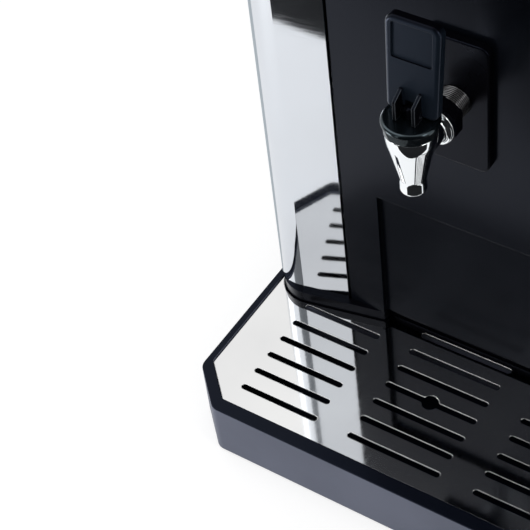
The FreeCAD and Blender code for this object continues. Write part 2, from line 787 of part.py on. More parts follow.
def rear_cover():
    half = HALF - REAR_RADIUS - COVER_GAP
    corners = rectangle(-half, half, PLINTH_TOP + COVER_GAP, LID_Z - COVER_GAP, COVER_ROUND)
    plate = facing(corners, Y_REAR - SHEET, Y_REAR)
    before = Y_REAR - SHEET - PAST
    after = Y_REAR + PAST
    cuts = []
    for side in (-1, 1):
        for row in range(VENT_ROWS):
            z = LID_Z - VENT_DROP - row * VENT_PITCH
            vent = slot_shape(side * VENT_SIDE, z, VENT_LENGTH, VENT_WIDTH)
            cuts.append(facing(vent, before, after))
    holes = [
        (INLET_X, INLET_Z, INLET_RADIUS + SEAM),
        (OVERFLOW_X, INLET_Z, OVERFLOW_SPIGOT + SEAM),
        (0, GLAND_Z, GLAND_RADIUS + SEAM),
        (0, CUTOUT_Z, RESET_RADIUS + RESET_WALL + SEAM),
    ]
    for x, z, radius in holes:
        cuts.append(rod(radius, (x, before, z), (x, after, z)))
    return plate.cut(Part.makeCompound(cuts)).cut(rear_screw_holes())


def rear_screw_places():
    x = HALF - REAR_FLANGE + SCREW_INSET
    low = PLINTH_TOP + SCREW_END
    high = LID_Z - SCREW_END
    return [(side * x, z) for side in (-1, 1) for z in (low, (low + high) / 2, high)]


def rear_screw_holes():
    radius = SCREW_RADIUS + SCREW_PLAY
    before = Y_REAR - 2 * SHEET - PAST
    after = Y_REAR + PAST
    holes = [rod(radius, (x, before, z), (x, after, z)) for x, z in rear_screw_places()]
    return Part.makeCompound(holes)


def rear_screws():
    screws = []
    for x, z in rear_screw_places():
        top = Y_REAR + SCREW_HEAD
        head = rod(2 * SCREW_RADIUS, (x, Y_REAR, z), (x, top, z))
        slot = bar((x, top, z), (4 * SCREW_RADIUS + PAST, SCREW_HEAD, SCREW_SLOT))
        shank = rod(SCREW_RADIUS, (x, Y_REAR - SCREW_LENGTH, z), (x, Y_REAR, z))
        screws.append(join(head, shank).cut(slot))
    return Part.makeCompound(screws)


def front_panel():
    """Moulded panel with returns, and a shallow niche at its foot."""
    half = PANEL_HALF - SEAM
    top = LID_Z - SEAM
    back = Y_PANEL + PANEL_RETURN
    wall = PANEL_WALL
    shell = facing(rectangle(-half, half, PANEL_BOTTOM, top), Y_PANEL, back)
    tall = top - PANEL_BOTTOM - PAST
    corners = [e for e in shell.Edges if e.Length > tall and e.BoundBox.YMax < Y_PANEL + 0.1]
    shell = shell.makeFillet(PANEL_ROUND, corners)
    hollow = block(-half + wall, half - wall, Y_PANEL + wall, back + PAST,
                   PANEL_BOTTOM + wall, top - wall)
    niche_top = PANEL_BOTTOM + NICHE_HEIGHT
    niche_back = Y_PANEL + NICHE_DEPTH
    lining = block(-NICHE_HALF - wall, NICHE_HALF + wall, Y_PANEL, niche_back + wall,
                   PANEL_BOTTOM, niche_top + wall)
    niche = block(-NICHE_HALF, NICHE_HALF, Y_PANEL - PAST, niche_back,
                  PANEL_BOTTOM - PAST, niche_top)
    shell = shell.cut(hollow.cut(lining)).cut(niche)
    front = Y_PANEL - PAST
    cuts = [rod(SHANK_RADIUS + SEAM, (0, front, SHANK_Z), (0, back, SHANK_Z))]
    cuts.append(switch_block(SEAM, front, back))
    for x in light_places():
        cuts.append(rod(LIGHT_RADIUS + LIGHT_PLAY, (x, front, LIGHTS_Z), (x, back, LIGHTS_Z)))
    return shell.cut(Part.makeCompound(cuts))


def light_places():
    return [(i - (LIGHT_COUNT - 1) / 2) * LIGHT_SPACING for i in range(LIGHT_COUNT)]


def status_lights():
    front = Y_PANEL - LIGHT_PROUD
    behind = Y_PANEL + PANEL_WALL + SEAM
    back = behind + LIGHT_BASE
    wide = LIGHT_RADIUS + LIGHT_FLANGE
    profile = [
        (0, front, 0), (LIGHT_RADIUS, front, LIGHT_DOME), (LIGHT_RADIUS, behind, 0),
        (wide, behind, 0), (wide, back, 0), (0, back, 0),
    ]
    return Part.makeCompound([turned_back(profile, x, LIGHTS_Z) for x in light_places()])


def status_board():
    face = Y_PANEL + PANEL_WALL + 2 * SEAM + LIGHT_BASE
    half = LIGHT_SPACING * LIGHT_COUNT / 2
    front = face + LAMP_HEIGHT
    back = front + BOARD
    corners = rectangle(-half, half, LIGHTS_Z - BOARD_HALF, LIGHTS_Z + BOARD_HALF, BOARD_ROUND)
    parts = [rod(LAMP_RADIUS, (x, face, LIGHTS_Z), (x, front, LIGHTS_Z)) for x in light_places()]
    parts.append(block(-PLUG_HALF, PLUG_HALF, back, back + PLUG_DEPTH,
                       LIGHTS_Z - PLUG_HALF / 2, LIGHTS_Z + PLUG_HALF / 2))
    for x in (-half + POST_INSET, half - POST_INSET):
        parts.append(rod(POST_RADIUS, (x, Y_PANEL + PANEL_WALL, LIGHTS_Z), (x, front, LIGHTS_Z)))
    return join(facing(corners, front, back), *parts)


def switch_block(grow, y0, y1):
    """The space that the switch takes in the panel."""
    x = SWITCH_WIDTH / 2 + grow
    z = SWITCH_HEIGHT / 2 + grow
    return block(-x, x, y0, y1, SWITCH_Z - z, SWITCH_Z + z)


def switch_housing():
    rear = Y_PANEL + SWITCH_DEPTH
    body = switch_block(-SEAM, Y_PANEL, rear)
    x = SWITCH_WIDTH / 2 + SWITCH_RIM
    z = SWITCH_HEIGHT / 2 + SWITCH_RIM
    bezel_y = Y_PANEL - SWITCH_RIM
    corners = rectangle(-x, x, SWITCH_Z - z, SWITCH_Z + z, SWITCH_CORNER)
    bezel = rounded_front(corners, bezel_y, Y_PANEL, SWITCH_EDGE)
    well = switch_block(-SWITCH_WALL, bezel_y - PAST, Y_PANEL + SWITCH_WELL)
    blades = []
    for offset in (-BLADE_SPREAD, BLADE_SPREAD):
        middle = (0, rear + BLADE_LENGTH / 2, SWITCH_Z + offset)
        blades.append(bar(middle, (BLADE_WIDTH, BLADE_LENGTH, BLADE_THICK)))
    housing = join(join(body, bezel).cut(well), *blades)
    pivot = V(0, Y_PANEL + ROCKER_SET, SWITCH_Z)
    reach = V(SWITCH_WIDTH / 2 - SWITCH_WALL / 2, 0, 0)
    return housing.cut(rod(ROCKER_PIVOT + RUNNING_FIT, pivot - reach, pivot + reach))


def switch_rocker():
    x = SWITCH_WIDTH / 2 - SWITCH_WALL - ROCKER_PLAY
    reach = SWITCH_HEIGHT / 2 - SWITCH_WALL - ROCKER_END
    profile = [
        (-ROCKER_FACE, 0, 2 * ROCKER_ROUND), (-ROCKER_HORN, -reach, ROCKER_ROUND),
        (-ROCKER_BACK, -reach, 0), (ROCKER_HEEL, 0, ROCKER_ROUND),
        (-ROCKER_BACK, reach, 0), (-ROCKER_HORN, reach, ROCKER_ROUND),
    ]
    stub = x + ROCKER_STUB
    rocker = join(sideways(profile, -x, x), rod(ROCKER_PIVOT, (-stub, 0, 0), (stub, 0, 0)))
    rocker.rotate(ORIGIN, ALONG_X, -ROCKER_TILT)
    rocker.translate(V(0, Y_PANEL + ROCKER_SET, SWITCH_Z))
    return rocker


def drip_tray():
    """Hollow-walled tray: a basin under the ledge that carries the grille."""
    outer = tray_plan()
    recess = recess_plan()
    top = RIM_TOP + PAST
    rear_wall = prism(inset(plinth_plan(), -TRAY_GAP - TRAY_WALL), 0, top)
    body = rounded_top(outer, TRAY_BOTTOM, RIM_TOP, RIM_ROUND)
    body = body.cut(prism(inset(plinth_plan(), -TRAY_GAP), 0, top))
    body = body.cut(prism(recess, LEDGE_Z, top))
    basin = prism(inset(recess, LEDGE), TRAY_FLOOR + TRAY_WALL, top).cut(rear_wall)
    under = prism(inset(outer, TRAY_WALL), 0, RIM_TOP - TRAY_WALL).cut(rear_wall)
    under = under.cut(prism(inset(recess, LEDGE - TRAY_WALL), TRAY_FLOOR, top))
    body = body.cut(basin).cut(under)
    studs = []
    for x in (-HALF + STUD_SIDE, HALF - STUD_SIDE):
        for y in (Y_FRONT + STUD_FRONT, Y_PANEL - STUD_REAR):
            studs.append(rod(STUD_RADIUS, (x, y, 0), (x, y, TRAY_FLOOR)))
    return join(body, *studs)


def drip_grille():
    """Slotted sheet, whose rear edge is rounded where the sheet tilts up."""
    plate = prism(inset(recess_plan(), GRILLE_GAP), LEDGE_Z, GRILLE_TOP)
    plate = plate.cut(prism(inset(plinth_plan(), -TRAY_GAP - GRILLE_GAP), 0, HEIGHT))
    rear = [e for e in plate.Edges if e.BoundBox.YMin > plate.BoundBox.YMax - 0.1]
    plate = plate.makeFillet(GRILLE_HEEL, [e for e in rear if e.Length > NICHE_HALF])
    side_x = (MIDDLE_SLOT + SIDE_SLOT) / 2 + SLOT_SPACE
    cuts = slot_column(0, MIDDLE_SLOT, MIDDLE_ROWS)
    for x in (-side_x, side_x):
        cuts += slot_column(x, SIDE_SLOT, SIDE_ROWS)
    y = Y_FRONT + FIRST_ROW + FINGER_ROW * SLOT_PITCH
    cuts.append(rod(FINGER_HOLE, (0, y, LEDGE_Z - PAST), (0, y, GRILLE_TOP + PAST)))
    for cut in cuts:
        plate = plate.cut(cut)
    return plate


def slot_column(x, length, rows):
    """The grille's slots in one column."""
    slots = []
    for row in range(rows):
        corners = slot_shape(x, Y_FRONT + FIRST_ROW + row * SLOT_PITCH, length, SLOT_WIDTH)
        slots.append(prism(corners, LEDGE_Z - PAST, GRILLE_TOP + PAST))
    return slots


def cone_radius(z):
    """Outer radius of the tap's cone at a height."""
    share = (z - CORNER_Z) / (SHOULDER_Z - CORNER_Z)
    return SPOUT_RADIUS + (CONE_TOP_RADIUS - SPOUT_RADIUS) * share


def tap_body():
    """Cone with its spout, the branch and shank behind it, and the valve chamber inside."""
    profile = [
        (0, LIP_Z, 0), (SPOUT_RADIUS, LIP_Z, SPOUT_LIP), (SPOUT_RADIUS, CORNER_Z, SPOUT_BLEND),
        (CONE_TOP_RADIUS, SHOULDER_Z, SHOULDER_BLEND), (CONE_TOP_RADIUS, BONNET_Z, CONE_EDGE),
        (NECK_RADIUS, BONNET_Z, 0), (NECK_RADIUS, NECK_TOP, NECK_ROUND), (0, NECK_TOP, 0),
    ]
    shank_end = Y_PANEL + SHANK_INSIDE
    collar_end = TAP_Y + COLLAR_END
    collar_start = collar_end - COLLAR_THICK
    side = [
        (0, TAP_Y, 0), (BRANCH_RADIUS, TAP_Y, 0), (BRANCH_RADIUS, collar_start, BRANCH_BLEND),
        (COLLAR_RADIUS, collar_start, COLLAR_ROUND), (COLLAR_RADIUS, collar_end, COLLAR_ROUND),
        (SHANK_RADIUS, collar_end, 0), (SHANK_RADIUS, shank_end, SHANK_END), (0, shank_end, 0),
    ]
    low = cone_radius(SEAT_Z) - VALVE_WALL
    high = NECK_RADIUS - NECK_WALL
    above = NECK_TOP + PAST
    chamber = [
        (0, SEAT_Z, 0), (low, SEAT_Z, 0), (high, CORNER_Z + CHAMBER_RISE, 0),
        (high, above, 0), (0, above, 0),
    ]
    step = SEAT_Z - SEAT_STEP
    outlet = [
        (0, LIP_Z - PAST, 0), (SPOUT_BORE, LIP_Z - PAST, 0), (SPOUT_BORE, step - SEAT_STEP, 0),
        (SEAT_BORE, step, 0), (SEAT_BORE, SEAT_Z + PAST, 0), (0, SEAT_Z + PAST, 0),
    ]
    body = join(turned(profile, 0, TAP_Y), turned_back(side, 0, SHANK_Z))
    body = body.cut(turned(chamber, 0, TAP_Y)).cut(turned(outlet, 0, TAP_Y))
    return body.cut(rod(SHANK_BORE, (0, TAP_Y, SHANK_Z), (0, shank_end + PAST, SHANK_Z)))


def tap_bonnet():
    """The black nut on the cone: a whole rim above, six flats on the tapered side below it."""
    low = BONNET_Z + BONNET_LIFT
    rim = BONNET_TOP - BONNET_RIM
    under = BONNET_TOP - BONNET_ROOF
    profile = [
        (0, low, 0), (BONNET_LOW_RADIUS, low, BONNET_FOOT), (BONNET_RADIUS, rim, 0),
        (BONNET_RADIUS, BONNET_TOP, BONNET_EDGE), (0, BONNET_TOP, 0),
    ]
    flats = prism(hexagon(0, TAP_Y, BONNET_ACROSS, 0), low - PAST, rim)
    sides = rod(BONNET_RADIUS + PAST, (0, TAP_Y, low - PAST), (0, TAP_Y, rim)).cut(flats)
    thread = rod(NECK_RADIUS + FIT, (0, TAP_Y, low - PAST), (0, TAP_Y, under))
    hole = rod(STEM_RADIUS + STEM_PLAY, (0, TAP_Y, low), (0, TAP_Y, BONNET_TOP + PAST))
    return turned(profile, 0, TAP_Y).cut(sides).cut(thread).cut(hole)


def shank_nut(across, start, thick):
    """A hexagon nut threaded on the tap's shank."""
    nut = facing(hexagon(0, SHANK_Z, across), start, start + thick)
    hole = rod(SHANK_RADIUS + FIT, (0, start - PAST, SHANK_Z), (0, start + thick + PAST, SHANK_Z))
    return nut.cut(hole)


def tap_jam_nut():
    return shank_nut(JAM_NUT_ACROSS, TAP_Y + COLLAR_END + FIT, JAM_NUT_THICK)


def tap_backplate():
    half = BACKPLATE_WIDTH / 2
    middle = SHANK_Z - BACKPLATE_DROP
    low = middle - BACKPLATE_HEIGHT / 2
    high = middle + BACKPLATE_HEIGHT / 2
    front = Y_PANEL - BACKPLATE_THICK
    wall = BACKPLATE_WALL
    corners = rectangle(-half, half, low, high, BACKPLATE_ROUND)
    plate = rounded_front(corners, front, Y_PANEL, BACKPLATE_EDGE)
    hollow = facing(inset(corners, wall), front + wall, Y_PANEL + PAST)
    boss = rod(SHANK_RADIUS + BACKPLATE_BOSS, (0, front, SHANK_Z), (0, Y_PANEL, SHANK_Z))
    hole = rod(SHANK_RADIUS + SEAM, (0, front - PAST, SHANK_Z), (0, Y_PANEL + PAST, SHANK_Z))
    return plate.cut(hollow.cut(boss)).cut(hole)


def shank_washer():
    start = Y_PANEL + PANEL_WALL
    return pipe(WASHER_RADIUS, SHANK_RADIUS + SEAM, (0, start, SHANK_Z),
                (0, start + WASHER_THICK, SHANK_Z))


def shank_locknut():
    return shank_nut(LOCKNUT_ACROSS, Y_PANEL + PANEL_WALL + WASHER_THICK, LOCKNUT_THICK)


def tap_stem():
    low = SEAT_Z + STEM_FOOT
    top = PIN_Z + STEM_ABOVE_PIN
    profile = [
        (0, low, 0), (STEM_RADIUS, low, 0), (STEM_RADIUS, top, STEM_ROUND), (0, top, 0),
    ]
    return turned(profile, 0, TAP_Y).cut(lever_pin())


def rib_sides():
    """Inner and outer face of a lever rib, from the tap's middle plane."""
    inner = (RIB_SPACING - RIB_THICK) / 2
    return inner, inner + RIB_THICK


def lever_pin():
    half = rib_sides()[1] - PIN_INSET
    return rod(PIN_RADIUS, (-half, TAP_Y, PIN_Z), (half, TAP_Y, PIN_Z))


def seat_cup():
    """Silicone plug that closes the seat, with the flange that the spring presses on."""
    low = SEAT_Z + CUP_LIFT
    high = low + CUP_HEIGHT
    waist = STEM_RADIUS + CUP_WAIST
    flange = high - CUP_RIM
    profile = [
        (0, low, 0), (CUP_RADIUS - CUP_LIP, low, CUP_ROUND),
        (CUP_RADIUS - CUP_ROUND, low + CUP_SEAL, CUP_ROUND),
        (waist, low + CUP_SEAL + CUP_LIP, CUP_ROUND), (waist, flange, 0), (CUP_RADIUS, flange, 0),
        (CUP_RADIUS, high, 0), (0, high, 0),
    ]
    hole = rod(STEM_RADIUS, (0, TAP_Y, SEAT_Z + STEM_FOOT), (0, TAP_Y, high + PAST))
    return turned(profile, 0, TAP_Y).cut(hole)


def tap_spring():
    low = SEAT_Z + CUP_LIFT + CUP_HEIGHT + FIT + SPRING_WIRE
    high = BONNET_TOP - BONNET_ROOF - FIT - SPRING_WIRE
    tall = high - low
    helix = Part.makeHelix(tall / SPRING_TURNS, tall, SPRING_RADIUS)
    ring = Part.makeCircle(SPRING_WIRE, V(SPRING_RADIUS, 0, 0), V(0, 1, 0))
    coil = Part.Wire(helix.Edges).makePipeShell([Part.Wire(ring)], True, True)
    coil.translate(V(0, TAP_Y, low))
    return coil


def tap_lever():
    """Paddle with two ribs that turn on their rounded heels and lift the stem by its pin."""
    half = LEVER_WIDTH / 2
    foot_half = half - LEVER_TAPER
    corners = [
        (-foot_half, 0, LEVER_CORNER), (foot_half, 0, LEVER_CORNER),
        (half, LEVER_HEIGHT, LEVER_ROUND), (-half, LEVER_HEIGHT, LEVER_ROUND),
    ]
    paddle = rounded_front(corners, 0, LEVER_THICK, LEVER_EDGE)
    pad_half = PAD_WIDTH / 2
    pad_top = LEVER_HEIGHT - PAD_TOP
    pad = rectangle(-pad_half, pad_half, pad_top - PAD_HEIGHT, pad_top, PAD_ROUND)
    paddle = paddle.cut(facing(pad, -PAST, PAD_DEPTH))
    paddle.rotate(ORIGIN, ALONG_X, -LEVER_TILT)
    paddle_y = TAP_Y + LEVER_FACE
    paddle.translate(V(0, paddle_y, LEVER_Z + LEVER_STEP))
    front_y = TAP_Y - LEVER_FOOT
    back_y = paddle_y + LEVER_THICK / 2
    rib = [
        (front_y, LEVER_Z, LEVER_HEEL), (back_y, LEVER_Z, 0), (back_y, LEVER_Z + RIB_RUN, 0),
        (paddle_y, LEVER_Z + RIB_RUN, 0), (front_y, LEVER_Z + RIB_HEIGHT, RIB_NOSE),
    ]
    left, right = rib_sides()
    lever = join(paddle, sideways(rib, left, right), sideways(rib, -right, -left))
    tall = 2 * (PIN_RADIUS + TRACK_PLAY)
    track = slot_shape(TAP_Y + TRACK_RUN / 2, PIN_Z + TRACK_RISE, TRACK_RUN + tall, tall)
    fork = STEM_RADIUS + FORK_PLAY
    gap = block(-fork, fork, front_y - PAST, back_y + LEVER_THICK, LEVER_Z - PAST,
                PIN_Z + FORK_ABOVE_PIN)
    return lever.cut(sideways(track, -right, right)).cut(gap)


def tank():
    """Boiling tank with a flanged rim and the outlet stub for the tap's hose."""
    outer = TANK_RADIUS
    inner = outer - TANK_WALL
    under = TANK_TOP - TANK_WALL
    floor = TANK_BOTTOM + TANK_WALL
    profile = [
        (0, TANK_BOTTOM, 0), (outer, TANK_BOTTOM, TANK_BEND), (outer, under, 0),
        (outer + TANK_RIM, under, 0), (outer + TANK_RIM, TANK_TOP, 0), (0, TANK_TOP, 0),
    ]
    space = [
        (0, floor, 0), (inner, floor, TANK_BEND - TANK_WALL), (inner, TANK_TOP + PAST, 0),
        (0, TANK_TOP + PAST, 0),
    ]
    root = TANK_Y - outer + OUTLET_ROOT
    stub = rod(OUTLET_RADIUS, (0, OUTLET_FRONT, SHANK_Z), (0, root, SHANK_Z))
    shell = join(turned(profile, 0, TANK_Y), stub).cut(turned(space, 0, TANK_Y))
    port = rod(OUTLET_RADIUS - TANK_WALL, (0, OUTLET_FRONT - PAST, SHANK_Z),
               (0, root + PAST, SHANK_Z))
    hole = rod(ELEMENT_THREAD, (0, TANK_Y, TANK_BOTTOM - PAST), (0, TANK_Y, floor + PAST))
    return shell.cut(port).cut(hole).cut(lid_bolt_holes())


def lid_bolt_places():
    radius = TANK_RADIUS + TANK_RIM - BOLT_INSET
    angles = [2 * math.pi * (i + 0.5) / LID_BOLTS for i in range(LID_BOLTS)]
    return [(radius * math.cos(a), TANK_Y + radius * math.sin(a)) for a in angles]


def lid_bolt_holes():
    radius = BOLT_RADIUS + BOLT_PLAY
    low = TANK_TOP - BOLT_TAIL
    high = LID_SEAT + BOLT_TAIL
    holes = [rod(radius, (x, y, low), (x, y, high)) for x, y in lid_bolt_places()]
    return Part.makeCompound(holes)


def tank_gasket():
    outer = TANK_RADIUS + TANK_RIM
    ring = pipe(outer, TANK_RADIUS - TANK_WALL, (0, TANK_Y, TANK_TOP), (0, TANK_Y, LID_SEAT))
    return ring.cut(lid_bolt_holes())


def probe_places():
    """Where the short, long and middle level probes stand in the lid."""
    rear = TANK_Y - PROBE_Y
    return [(-PROBE_X, rear), (0.0, TANK_Y - MIDDLE_PROBE_Y), (PROBE_X, rear)]


def tank_lid():
    """Domed lid with two spigots for the hoses and holes for the probes."""
    outer = TANK_RADIUS + TANK_RIM
    slope = TANK_RADIUS - DOME_SLOPE
    foot = TANK_RADIUS - DOME_FOOT
    under = LID_ROOF - TANK_WALL
    brim = LID_SEAT + TANK_WALL
    profile = [
        (0, under, 0), (slope, under, 0), (foot, LID_SEAT, 0), (outer, LID_SEAT, 0),
        (outer, brim, 0), (foot, brim, 0), (slope, LID_ROOF, 0), (0, LID_ROOF, 0),
    ]
    lid = turned(profile, 0, TANK_Y)
    top = LID_ROOF + SPIGOT_RISE
    y = TANK_Y + PORT_Y
    cuts = []
    for x, bore in ((-PORT_X, FILL_BORE), (PORT_X, OVERFLOW_BORE)):
        radius = bore - HOSE_GAP
        lid = join(lid, rod(radius, (x, y, under), (x, y, top)))
        cuts.append(rod(radius - SPIGOT_WALL, (x, y, under - PAST), (x, y, top + PAST)))
    for x, y in probe_places() + [(0.0, TANK_Y + SENSOR_Y)]:
        cuts.append(rod(PROBE_RADIUS + FIT, (x, y, under - PAST), (x, y, LID_ROOF + PAST)))
    return lid.cut(Part.makeCompound(cuts)).cut(lid_bolt_holes())


def lid_bolts():
    top = LID_SEAT + TANK_WALL
    under = TANK_TOP - TANK_WALL
    bolts = []
    for x, y in lid_bolt_places():
        shank = rod(BOLT_RADIUS, (x, y, under - BOLT_TAIL), (x, y, top))
        head = prism(hexagon(x, y, BOLT_ACROSS), top, top + BOLT_HEAD)
        nut = prism(hexagon(x, y, BOLT_ACROSS), under - BOLT_NUT, under)
        bolts.append(join(shank, head, nut))
    return Part.makeCompound(bolts)


def insulation_jacket():
    inner = TANK_RADIUS + JACKET_GAP
    outer = TANK_RADIUS + JACKET_THICK
    low = TANK_BOTTOM + JACKET_END
    high = TANK_TOP - JACKET_END
    sleeve = pipe(outer, inner, (0, TANK_Y, low), (0, TANK_Y, high))
    front = rod(OUTLET_RADIUS + OUTLET_GAP, (0, TANK_Y - outer - PAST, SHANK_Z),
                (0, TANK_Y, SHANK_Z))
    rear = rod(CUTOUT_RADIUS + OUTLET_GAP, (0, TANK_Y, CUTOUT_Z),
               (0, TANK_Y + outer + PAST, CUTOUT_Z))
    return sleeve.cut(front).cut(rear)


def overheat_cutout():
    """Safety thermostat on the tank's rear wall, with its reset collar in the rear cover."""
    z = CUTOUT_Z
    base = Y_REAR - CUTOUT_BASE
    body = rod(CUTOUT_RADIUS, (0, TANK_Y + TANK_RADIUS - PAST, z), (0, base, z))
    collar = rod(RESET_RADIUS + RESET_WALL, (0, base, z), (0, Y_REAR + RESET_COLLAR, z))
    skin = rod(TANK_RADIUS + FIT, (0, TANK_Y, z - 2 * CUTOUT_RADIUS),
               (0, TANK_Y, z + 2 * CUTOUT_RADIUS))
    floor = base - RESET_POCKET
    well = rod(RESET_RADIUS + RESET_PLAY, (0, floor, z), (0, Y_REAR + RESET_COLLAR + PAST, z))
    pocket = rod(RESET_RADIUS + RESET_LIP + LIP_PLAY, (0, floor, z), (0, base, z))
    bridge_y = base - BRIDGE_SET
    parts = [collar, bar((0, bridge_y, z), (BRIDGE_WIDTH, BRIDGE_THICK, BRIDGE_HEIGHT))]
    for x in (-BRIDGE_WIDTH / 2, BRIDGE_WIDTH / 2):
        parts.append(bar((x, bridge_y, z), (BLADE_LENGTH, BLADE_THICK, BLADE_WIDTH)))
    return join(body, *parts).cut(skin).cut(well.fuse(pocket))


def reset_button():
    """Button whose shoulder keeps it in the collar, with room to be pressed."""
    start = Y_REAR - CUTOUT_BASE - RESET_POCKET + RESET_TRAVEL + SEAM
    shoulder = start + RESET_SHOULDER
    lip = RESET_RADIUS + RESET_LIP
    end = Y_REAR + RESET_COLLAR + RESET_PROUD
    profile = [
        (0, start, 0), (lip, start, 0), (lip, shoulder, 0), (RESET_RADIUS, shoulder, 0),
        (RESET_RADIUS, end, RESET_ROUND), (0, end, 0),
    ]
    return turned_back(profile, 0, CUTOUT_Z)


def tank_stand():
    """Ring under the tank on four legs, each with a shoe on the plinth's floor."""
    ring_z = TANK_BOTTOM - STAND_SHEET
    ring = pipe(TANK_RADIUS - STAND_INSET, STAND_HOLE, (0, TANK_Y, ring_z),
                (0, TANK_Y, TANK_BOTTOM))
    arm = TANK_RADIUS - LEG_INSET
    half = STAND_LEG / 2
    legs = []
    for quarter in range(4):
        leg = block(arm, arm + STAND_SHEET, -half, half, FLOOR_TOP, TANK_BOTTOM)
        shoe = block(arm, arm + STAND_SHOE, -half, half, FLOOR_TOP, FLOOR_TOP + STAND_SHEET)
        pair = leg.fuse(shoe)
        pair.rotate(ORIGIN, ALONG_Z, 45 + 90 * quarter)
        pair.translate(V(0, TANK_Y, 0))
        legs.append(pair)
    return join(ring, *legs)


def heating_element():
    """Two looped heating rods on a boss that is clamped through the tank's bottom."""
    boss_low = TANK_BOTTOM - ELEMENT_BOSS
    top = TANK_BOTTOM + TANK_WALL
    loop_z = top + LOOP_RISE
    front = TANK_Y - LOOP_GAP
    rear = TANK_Y + LOOP_GAP
    back = TANK_Y + LOOP_BACK
    nut = prism(hexagon(0, TANK_Y, ELEMENT_ACROSS), TANK_BOTTOM - ELEMENT_NUT, TANK_BOTTOM)
    parts = [rod(ELEMENT_THREAD - BOLT_PLAY, (0, TANK_Y, boss_low), (0, TANK_Y, top))]
    parts.append(rod(ELEMENT_FLANGE, (0, TANK_Y, top), (0, TANK_Y, top + ELEMENT_SEAT)))
    for side in (-1, 1):
        x = side * LOOP_SIDE
        reach = side * LOOP_REACH
        path = [
            (x, front, top), (x, front, loop_z), (reach, front, loop_z), (reach, back, loop_z),
            (x, back, loop_z), (x, rear, loop_z), (x, rear, top),
        ]
        parts.append(bent_rod(path, LOOP_BEND, LOOP_RADIUS))
        middle = (x, TANK_Y, boss_low - BLADE_LENGTH / 2)
        parts.append(bar(middle, (BLADE_WIDTH, BLADE_THICK, BLADE_LENGTH)))
    return join(nut, *parts)


def probe_head(x, y):
    """Threaded plug with a hexagon that holds a probe in the lid."""
    low = LID_ROOF - TANK_WALL - PROBE_ROOT
    plug = rod(PROBE_RADIUS, (x, y, low), (x, y, LID_ROOF + PROBE_ROOT))
    return join(plug, prism(hexagon(x, y, PROBE_ACROSS), LID_ROOF, LID_ROOF + PROBE_NUT))


def level_probes():
    depths = (HIGH_PROBE, LOW_PROBE, MIDDLE_PROBE)
    probes = []
    for (x, y), depth in zip(probe_places(), depths):
        needle = rod(PROBE_NEEDLE, (x, y, LID_ROOF - depth), (x, y, LID_ROOF + PROBE_TAIL))
        probes.append(join(probe_head(x, y), needle))
    return Part.makeCompound(probes)


def temperature_probe():
    y = TANK_Y + SENSOR_Y
    pocket = rod(PROBE_RADIUS, (0, y, LID_ROOF - SENSOR_DEPTH), (0, y, LID_ROOF))
    lead = rod(SENSOR_LEAD, (0, y, LID_ROOF), (0, y, LID_ROOF + SENSOR_TAIL))
    return join(probe_head(0, y), pocket, lead)


def outlet_hose():
    start = Y_PANEL + SHANK_INSIDE + HOSE_GAP
    end = TANK_Y - TANK_RADIUS - JACKET_THICK - PAST
    inner = OUTLET_RADIUS + HOSE_PLAY
    return pipe(inner + HOSE_WALL, inner, (0, start, SHANK_Z), (0, end, SHANK_Z))


def hose_clips():
    inner = OUTLET_RADIUS + HOSE_PLAY + HOSE_WALL + FIT
    start = Y_PANEL + SHANK_INSIDE + HOSE_GAP + CLIP_INSET
    end = TANK_Y - TANK_RADIUS - JACKET_THICK - PAST - CLIP_INSET
    z = SHANK_Z + inner + CLIP_BAND / 2
    half = CLIP_SCREW / 2
    clips = []
    for y in (start, end - CLIP_WIDTH):
        back = y + CLIP_WIDTH
        band = pipe(inner + CLIP_BAND, inner, (0, y, SHANK_Z), (0, back, SHANK_Z))
        screw = block(-half, half, y + CLIP_EDGE, back - CLIP_EDGE, z, z + CLIP_SCREW_HEIGHT)
        clips.append(join(band, screw))
    return Part.makeCompound(clips)


def inlet_valve():
    """Solenoid valve whose threaded tail passes through the rear cover."""
    x = INLET_X
    z = INLET_Z
    rear = Y_REAR + INLET_REACH
    inside = Y_REAR - SHEET
    front = Y_REAR - VALVE_LENGTH
    chimney_z = z + CHIMNEY_HEIGHT
    spigot_z = chimney_z + CHIMNEY_SPIGOT
    solid = join(
        rod(VALVE_RADIUS, (x, front, z), (x, Y_REAR - VALVE_END, z)),
        rod(INLET_RADIUS + INLET_LIP, (x, inside - INLET_LIP, z), (x, inside, z)),
        rod(INLET_RADIUS - INLET_RELIEF, (x, inside, z), (x, rear, z)),
        rod(INLET_RADIUS, (x, Y_REAR + INLET_NECK, z), (x, rear, z)),
        rod(COIL_SEAT_RADIUS, (x, front - COIL_SEAT, z), (x, front, z)),
        rod(CHIMNEY_RADIUS, (x, CHIMNEY_Y, z), (x, CHIMNEY_Y, chimney_z)),
        rod(FILL_BORE - HOSE_GAP, (x, CHIMNEY_Y, z), (x, CHIMNEY_Y, spigot_z)),
    )
    bore = rod(INLET_BORE, (x, Y_REAR - INLET_BORE_DEPTH, z), (x, rear + PAST, z))
    rise = rod(FILL_BORE - HOSE_GAP - SPIGOT_WALL, (x, CHIMNEY_Y, z),
               (x, CHIMNEY_Y, spigot_z + PAST))
    return solid.cut(bore).cut(rise)


def valve_coil():
    back = Y_REAR - VALVE_LENGTH - COIL_SEAT - FIT
    middle = back - COIL_DEPTH / 2
    coil = bar((INLET_X, middle, INLET_Z), (COIL_WIDTH, COIL_DEPTH, COIL_HEIGHT))
    upright = [e for e in coil.Edges if e.BoundBox.ZLength > COIL_HEIGHT - 0.1]
    coil = coil.makeFillet(COIL_ROUND, upright)
    z = INLET_Z - (COIL_HEIGHT + BLADE_LENGTH) / 2
    blades = []
    for offset in (-BLADE_SPREAD, BLADE_SPREAD):
        size = (BLADE_WIDTH, BLADE_THICK, BLADE_LENGTH)
        blades.append(bar((INLET_X + offset, middle, z), size))
    return join(coil, *blades)


